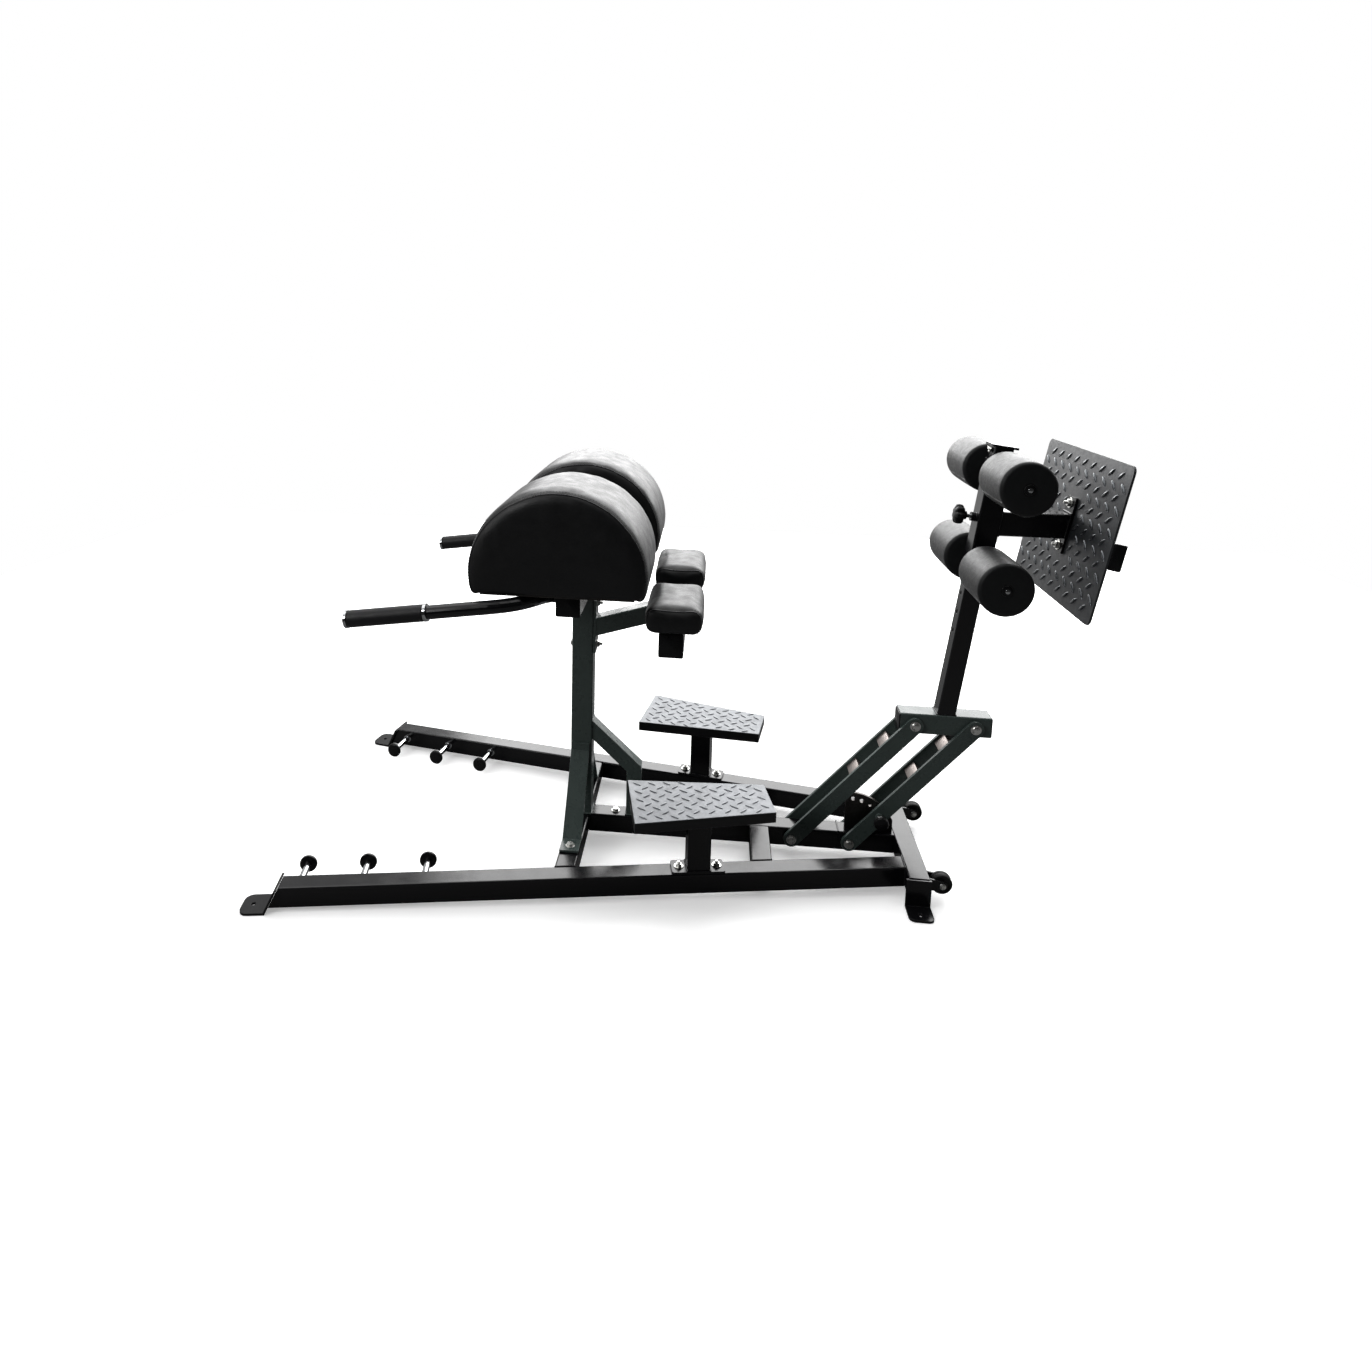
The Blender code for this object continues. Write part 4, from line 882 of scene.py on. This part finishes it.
def band_pegs():
    """Chrome peg with a washer at its root and a plastic knob at its tip."""
    for label, sign in SIDES:
        a, b = ends("base_rail_" + label)
        along = (b - a).normalized()
        inward = Vector((-along.y, along.x, 0)).normalized() * -sign
        for i in (1, 2, 3):
            node = "band_peg_%s_%d" % (label, i)
            co = np.array([v.co for v in NODES[node].data.vertices], float)
            s = co @ np.array(inward)
            root = Vector(co[s < s.min() + 1e-4].mean(0))
            length = float(s.max() - s.min())
            bm = bmesh.new()
            spin(bm, root, inward, [(0.0, 0.0120), (0.0022, 0.0120), (0.0030, 0.0105)], 28, 0,
                 bore=0.006)
            spin(bm, root, inward, [(0.0, 0.008), (length - 0.010, 0.008)], 28, 0)
            k = length - 0.010
            spin(bm, root + inward * k, inward,
                 [(0.0, 0.0190), (0.0012, 0.0208), (0.0060, 0.0210), (0.0084, 0.0196),
                  (0.0096, 0.0170), (0.0094, 0.0100), (0.0098, 0.0040)], 36, 1)
            obj = piece("peg_" + node[9:], bm, [CHROME, PLASTIC], "frame", 40.0)
            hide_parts(node)


def knobs():
    """Lobed knob on the height pin and a turned one on the linkage's lock pin."""
    co = np.array([v.co for v in NODES["height_pin"].data.vertices], float)
    s = co @ np.array(POST_FRONT)
    centre = Vector(co.mean(0))
    foot = centre + POST_FRONT * (float(s.min()) - centre.dot(POST_FRONT))
    total = float(s.max() - s.min())
    bm = bmesh.new()
    spin(bm, foot, POST_FRONT, [(0.0, 0.0038), (0.001, 0.0048), (total - 0.030, 0.0048)], 24, 0)
    spin(bm, foot + POST_FRONT * (total - 0.0300), POST_FRONT,
         [(0.0, 0.0085), (0.0005, 0.0100), (0.0055, 0.0112), (0.0080, 0.0170)], 42, 1)
    spin(bm, foot + POST_FRONT * (total - 0.0225), POST_FRONT,
         [(0.0, 0.0170), (0.0016, 0.0215), (0.0048, 0.0242), (0.0120, 0.0246), (0.0180, 0.0228),
          (0.0210, 0.0170), (0.0224, 0.0080)], 84, 1, lobes=7, depth=0.22)
    obj = piece("height_knob", bm, [CHROME, PLASTIC], "height_pin", 35.0)
    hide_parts("height_pin")
    lo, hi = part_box("lock_pin")
    c = (lo + hi) / 2
    bm = bmesh.new()
    total = hi.y - lo.y
    spin(bm, Vector((c.x, hi.y, c.z)), -Y,
         [(0.0, 0.0040), (0.001, 0.0050), (total - 0.024, 0.0050)], 24, 0)
    spin(bm, Vector((c.x, lo.y + 0.0242, c.z)), -Y,
         [(0.0, 0.0075), (0.0050, 0.0090), (0.0080, 0.0160), (0.0110, 0.0185), (0.0180, 0.0188),
          (0.0220, 0.0165), (0.0240, 0.0090)], 60, 1, lobes=12, depth=0.06)
    obj = piece("lock_knob", bm, [CHROME, PLASTIC], "lock_pin", 35.0)
    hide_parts("lock_pin")


def wheels():
    """Tyre with a groove, its hub, and a bolt head on both sides of it."""
    for label, _ in SIDES:
        node = "wheel_" + label
        lo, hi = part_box(node)
        c = (lo + hi) / 2
        h = (hi.y - lo.y) / 2
        bm = bmesh.new()
        profile = [(-h + 0.003, 0.0165), (-h + 0.0008, 0.0190), (-h, 0.0205), (-h + 0.0006, 0.0236),
                   (-h + 0.0030, 0.0250)]
        profile += [(-0.0030, 0.0250), (-0.0022, 0.0243), (0.0022, 0.0243), (0.0030, 0.0250)]
        profile += [(-d, r) for d, r in profile[:5][::-1]]
        spin(bm, c, Y, profile, 48, 0, bore=0.0108)
        spin(bm, c, Y, [(-h + 0.0012, 0.0085), (-h + 0.0004, 0.0100), (h - 0.0004, 0.0100),
                        (h - 0.0012, 0.0085)], 32, 1, bore=0.0054)
        obj = piece("tyre_" + label, bm, [RUBBER, PLASTIC], node, 35.0)
        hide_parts(node)
        bm = bmesh.new()
        for out in (-1.0, 1.0):
            at = Vector((c.x, c.y + out * (h + 0.0062), c.z))
            spin(bm, at, Y * out, [(0.0, 0.0078), (0.0012, 0.0078), (0.0030, 0.0060),
                                   (0.0036, 0.0022)], 24, 0)
        piece("wheel_bolt_" + label, bm, [ZINC], "frame")


# ---------------------------------------------------------------- end plugs and welds

def plug(bm, at, out, up, width, height):
    """Plastic plug closing a tube's end, with rounded corners and a slightly raised face."""
    side = up.cross(out).normalized()
    rings = []
    for k, w, h, r in ((-0.012, width - 0.0070, height - 0.0070, 0.001),
                       (0.0, width - 0.0066, height - 0.0066, 0.001),
                       (0.0001, width - 0.0012, height - 0.0012, 0.004),
                       (0.0020, width - 0.0014, height - 0.0014, 0.004),
                       (0.0032, width - 0.0060, height - 0.0060, 0.003)):
        ring = []
        for cx, cy, start in ((1, 1, 0), (-1, 1, 90), (-1, -1, 180), (1, -1, 270)):
            for i in range(5):
                a = math.radians(start + 22.5 * i)
                ring.append(at + out * k + side * (cx * (w / 2 - r) + r * math.cos(a))
                            + up * (cy * (h / 2 - r) + r * math.sin(a)))
        rings.append(ring)
    skin(bm, rings)


def plugs():
    """Plugs in both ends of the open tubes."""
    for node, body, up in (("pad_cross_tube", "frame", Z), ("seat_cross_tube", "frame", Z),
                           ("foot_back_tube", "sleeve", PLATE_UP), ("carriage", "carriage", Z)):
        a, b = ends(node)
        bm = bmesh.new()
        along = (b - a).normalized()
        side = up.cross(along).normalized()
        co = np.array([v.co for v in NODES[node].data.vertices], float)
        wide = float(np.ptp(co @ np.array(side)))
        tall = float(np.ptp(co @ np.array(up)))
        for at, out in ((a, -along), (b, along)):
            centre = at + out * (float(max(co @ np.array(out))) - at.dot(out))
            plug(bm, centre, out, up, wide, tall)
        piece(node + "_plugs", bm, [PLASTIC], body, 35.0)


def weld(bm, path, radius=0.0024, closed=False):
    """Rippled bead along a joint."""
    points = resample(path, 0.0016, closed)
    sweep(bm, points, lambda i: radius * (0.72 + 0.28 * abs(math.sin(i * 0.95))), 6, closed)


def rectangle(centre, u, v, w, h):
    """Four corners round a centre."""
    return [centre + u * a * w / 2 + v * b * h / 2 for a, b in ((1, 1), (-1, 1), (-1, -1), (1, -1))]


def welds():
    """Beads where the base, the upright, the handles, the steps, the post and the arms meet."""
    base = bmesh.new()
    slate = bmesh.new()
    lo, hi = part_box("upright")
    c = (lo + hi) / 2
    weld(slate, rectangle(Vector((c.x, c.y, base_top(c.x) + 0.0010)), X, Y, hi.x - lo.x + 0.001,
                          hi.y - lo.y + 0.001), 0.0026, True)
    weld(slate, rectangle(Vector((c.x, c.y, hi.z)), X, Y, hi.x - lo.x + 0.001, hi.y - lo.y + 0.001),
         0.0022, True)
    lo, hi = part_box("brace")
    half = (hi.y - lo.y) / 2
    weld(slate, rectangle(Vector((hi.x - 0.019, 0, lo.z + 0.0005)), X, Y, 0.039, 2 * half + 0.001),
         0.0024, True)
    for y in (-half, half):
        weld(slate, [Vector((lo.x, y, hi.z - 0.001)), Vector((lo.x, y, hi.z - 0.050))], 0.0021)
    weld(slate, [Vector((lo.x, -half, hi.z)), Vector((lo.x, half, hi.z))], 0.0021)
    for label, sign in SIDES:
        a, b = ends("base_rail_" + label)
        along = (b - a).normalized()
        inward = Vector((-along.y, along.x, 0)).normalized() * -sign
        for bar in ("front_crossbar", "mid_crossbar_" + label):
            blo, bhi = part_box(bar)
            for x in (blo.x, bhi.x):
                p = rail_point(sign, x)
                p = p + inward * (HALF + 0.0006)
                weld(base, [Vector((x, p.y, base_top(x) - 2 * HALF + 0.004)),
                            Vector((x, p.y, base_top(x) - 0.004))])
            p, q = (rail_point(sign, x) + inward * (HALF + 0.0006) for x in (blo.x, bhi.x))
            weld(base, [Vector((blo.x, p.y, base_top(blo.x))), Vector((bhi.x, q.y, base_top(bhi.x)))])
        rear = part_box("base_rail_" + label)[1].x
        p = rail_point(sign, rear)
        side = HALF / math.cos(math.atan2(abs(along.y), along.x))
        weld(base, [Vector((rear, p.y - side, base_top(rear))),
                    Vector((rear, p.y + side, base_top(rear)))])
        weld(base, [Vector((rear, p.y - side, base_top(rear) - 0.045)),
                    Vector((rear, p.y - side, base_top(rear) - 0.003))])
        lo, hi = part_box("handle_" + label)
        root = Vector((hi.x - 0.0004, sign * HANDLE_Y, HANDLE_Z))
        ring = [root + (Y * math.cos(t) + Z * math.sin(t)) * 0.0165
                for t in (2 * math.pi * i / 20 for i in range(20))]
        weld(base, ring, 0.0022, True)
        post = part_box("step_post_" + label)
        o = rail_point(sign, (post[0].x + post[1].x) / 2)
        out = Vector((-along.y, along.x, 0)).normalized()
        flat = Vector((along.x, along.y, 0)).normalized()
        weld(base, rectangle(Vector((o.x, o.y, post[0].z + 0.0066)), flat, out, 0.056, 0.047), 0.0024,
             True)
    for x in (SPINE[0].x, SPINE[1].x):
        weld(base, [Vector((x, -HALF, base_top(x))), Vector((x, HALF, base_top(x)))])
        for y in (-HALF, HALF):
            weld(base, [Vector((x, y, base_top(x) - 0.045)), Vector((x, y, base_top(x) - 0.004))])
    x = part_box("seat_cross_tube")[0].x
    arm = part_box("seat_arm")
    top = [v.co for v in NODES["seat_arm"].data.vertices if v.co.x > x - 0.002]
    z0, z1 = min(p.z for p in top), max(p.z for p in top)
    z1 = min(z1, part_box("seat_cross_tube")[1].z)
    weld(slate, rectangle(Vector((x - 0.0002, 0, (z0 + z1) / 2)), Y, Z, 0.050, z1 - z0), 0.0022, True)
    x = arm[0].x + 0.0064
    weld(slate, rectangle(Vector((x, 0, SEAT_ARM_Z)), Y, Z, 0.050, 0.046), 0.0022, True)
    piece("frame_welds", base, [BLACK], "frame", 60.0)
    piece("upright_welds", slate, [SLATE], "frame", 60.0)
    bm = bmesh.new()
    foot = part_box("carriage")[1].z
    p = on_post(foot + 0.0004)
    weld(bm, rectangle(p, X, Y, 0.0455, 0.0450), 0.0024, True)
    piece("post_weld", bm, [BLACK], "carriage", 60.0)
    bm = bmesh.new()
    p = on_post(ARM_Z) - POST_FRONT * 0.0270
    p = p + POST_AXIS * ((ARM_Z - p.z) / POST_AXIS.z)
    weld(bm, rectangle(p, Y, POST_AXIS, 0.050, 0.0605), 0.0024, True)
    hit = PLATE_MID + PLATE_UP * ((ARM_Z - PLATE_MID.z) / PLATE_UP.z) + PLATE_NORMAL * 0.0092
    weld(bm, rectangle(hit, Y, PLATE_UP, 0.050, 0.061), 0.0024, True)
    piece("arm_welds", bm, [BLACK], "sleeve", 60.0)


# ---------------------------------------------------------------- studio

def area_light(name, at, target, size, power):
    """White rectangular light that looks at a target."""
    data = bpy.data.lights.new(name, "AREA")
    data.shape, data.size, data.size_y = "RECTANGLE", size[0], size[1]
    data.energy = power
    obj = bpy.data.objects.new(name, data)
    obj.location = at
    obj.rotation_euler = (Vector(target) - Vector(at)).to_track_quat("-Z", "Y").to_euler()
    SCENE.collection.objects.link(obj)


def studio():
    """Pale floor that runs into a white surround, bright behind and above the machine."""
    bm = bmesh.new()
    bmesh.ops.create_grid(bm, x_segments=1, y_segments=1, size=3.6)
    mesh = bpy.data.meshes.new("floor")
    bm.to_mesh(mesh)
    bm.free()
    floor = bpy.data.objects.new("floor", mesh)
    floor.location.z = -0.0006
    SCENE.collection.objects.link(floor)
    f = Finish("studio_floor", 0.85, Specular_IOR_Level=0.0)
    seen = f.tree.nodes.new("ShaderNodeLightPath").outputs["Is Camera Ray"]
    tone = f.mix(f.noise(1.2, 2.0), (0.90, 0.90, 0.90), (0.93, 0.93, 0.93))
    f.colour(f.mix(seen, (0.14, 0.14, 0.14), tone))
    reach = f.tree.nodes.new("ShaderNodeVectorMath")
    reach.operation = "LENGTH"
    f.link(f.coords, reach.inputs[0])
    glow = f.span(reach.outputs["Value"], 1.1, 2.4, 0.35, 1.0)
    f.link(f.math("MULTIPLY", seen, glow), f.shader.inputs["Emission Strength"])
    mesh.materials.append(f.mat)
    world = bpy.data.worlds.new("surround")
    SCENE.world = world
    world.use_nodes = True
    tree = world.node_tree
    background = tree.nodes["Background"]
    coords = tree.nodes.new("ShaderNodeTexCoord")
    split = tree.nodes.new("ShaderNodeSeparateXYZ")
    tree.links.new(coords.outputs["Generated"], split.inputs[0])
    span = tree.nodes.new("ShaderNodeMapRange")
    span.interpolation_type = "SMOOTHSTEP"
    tree.links.new(split.outputs["Y"], span.inputs["Value"])
    for i, v in enumerate((-0.25, 0.45, 0.03, 0.75)):
        span.inputs[i + 1].default_value = v
    seen = tree.nodes.new("ShaderNodeLightPath").outputs["Is Camera Ray"]
    white = tree.nodes.new("ShaderNodeMath")
    white.operation = "MAXIMUM"
    tree.links.new(span.outputs["Result"], white.inputs[0])
    tree.links.new(seen, white.inputs[1])
    tree.links.new(white.outputs[0], background.inputs["Strength"])
    background.inputs["Color"].default_value = (1, 1, 1, 1)
    area_light("overhead", (0.1, 0.8, 4.2), (0.1, 0.2, 0.0), (7.0, 5.0), 190.0)
    area_light("window", (0.6, 3.6, 2.4), (0.0, 0.0, 0.6), (5.0, 2.6), 225.0)
    area_light("side_fill", (-3.6, -1.4, 2.2), (0.0, 0.0, 0.5), (2.0, 2.0), 12.0)
    area_light("key", (-3.4, -3.4, 3.4), (0.0, 0.0, 0.5), (2.0, 2.0), 90.0)
    SCENE.view_settings.view_transform = "Standard"


dress_nodes()
pads()
foam_rollers()
hand_grips()
treads()
fasteners()
pivots()
link_blocks()
band_pegs()
knobs()
wheels()
plugs()
welds()
studio()
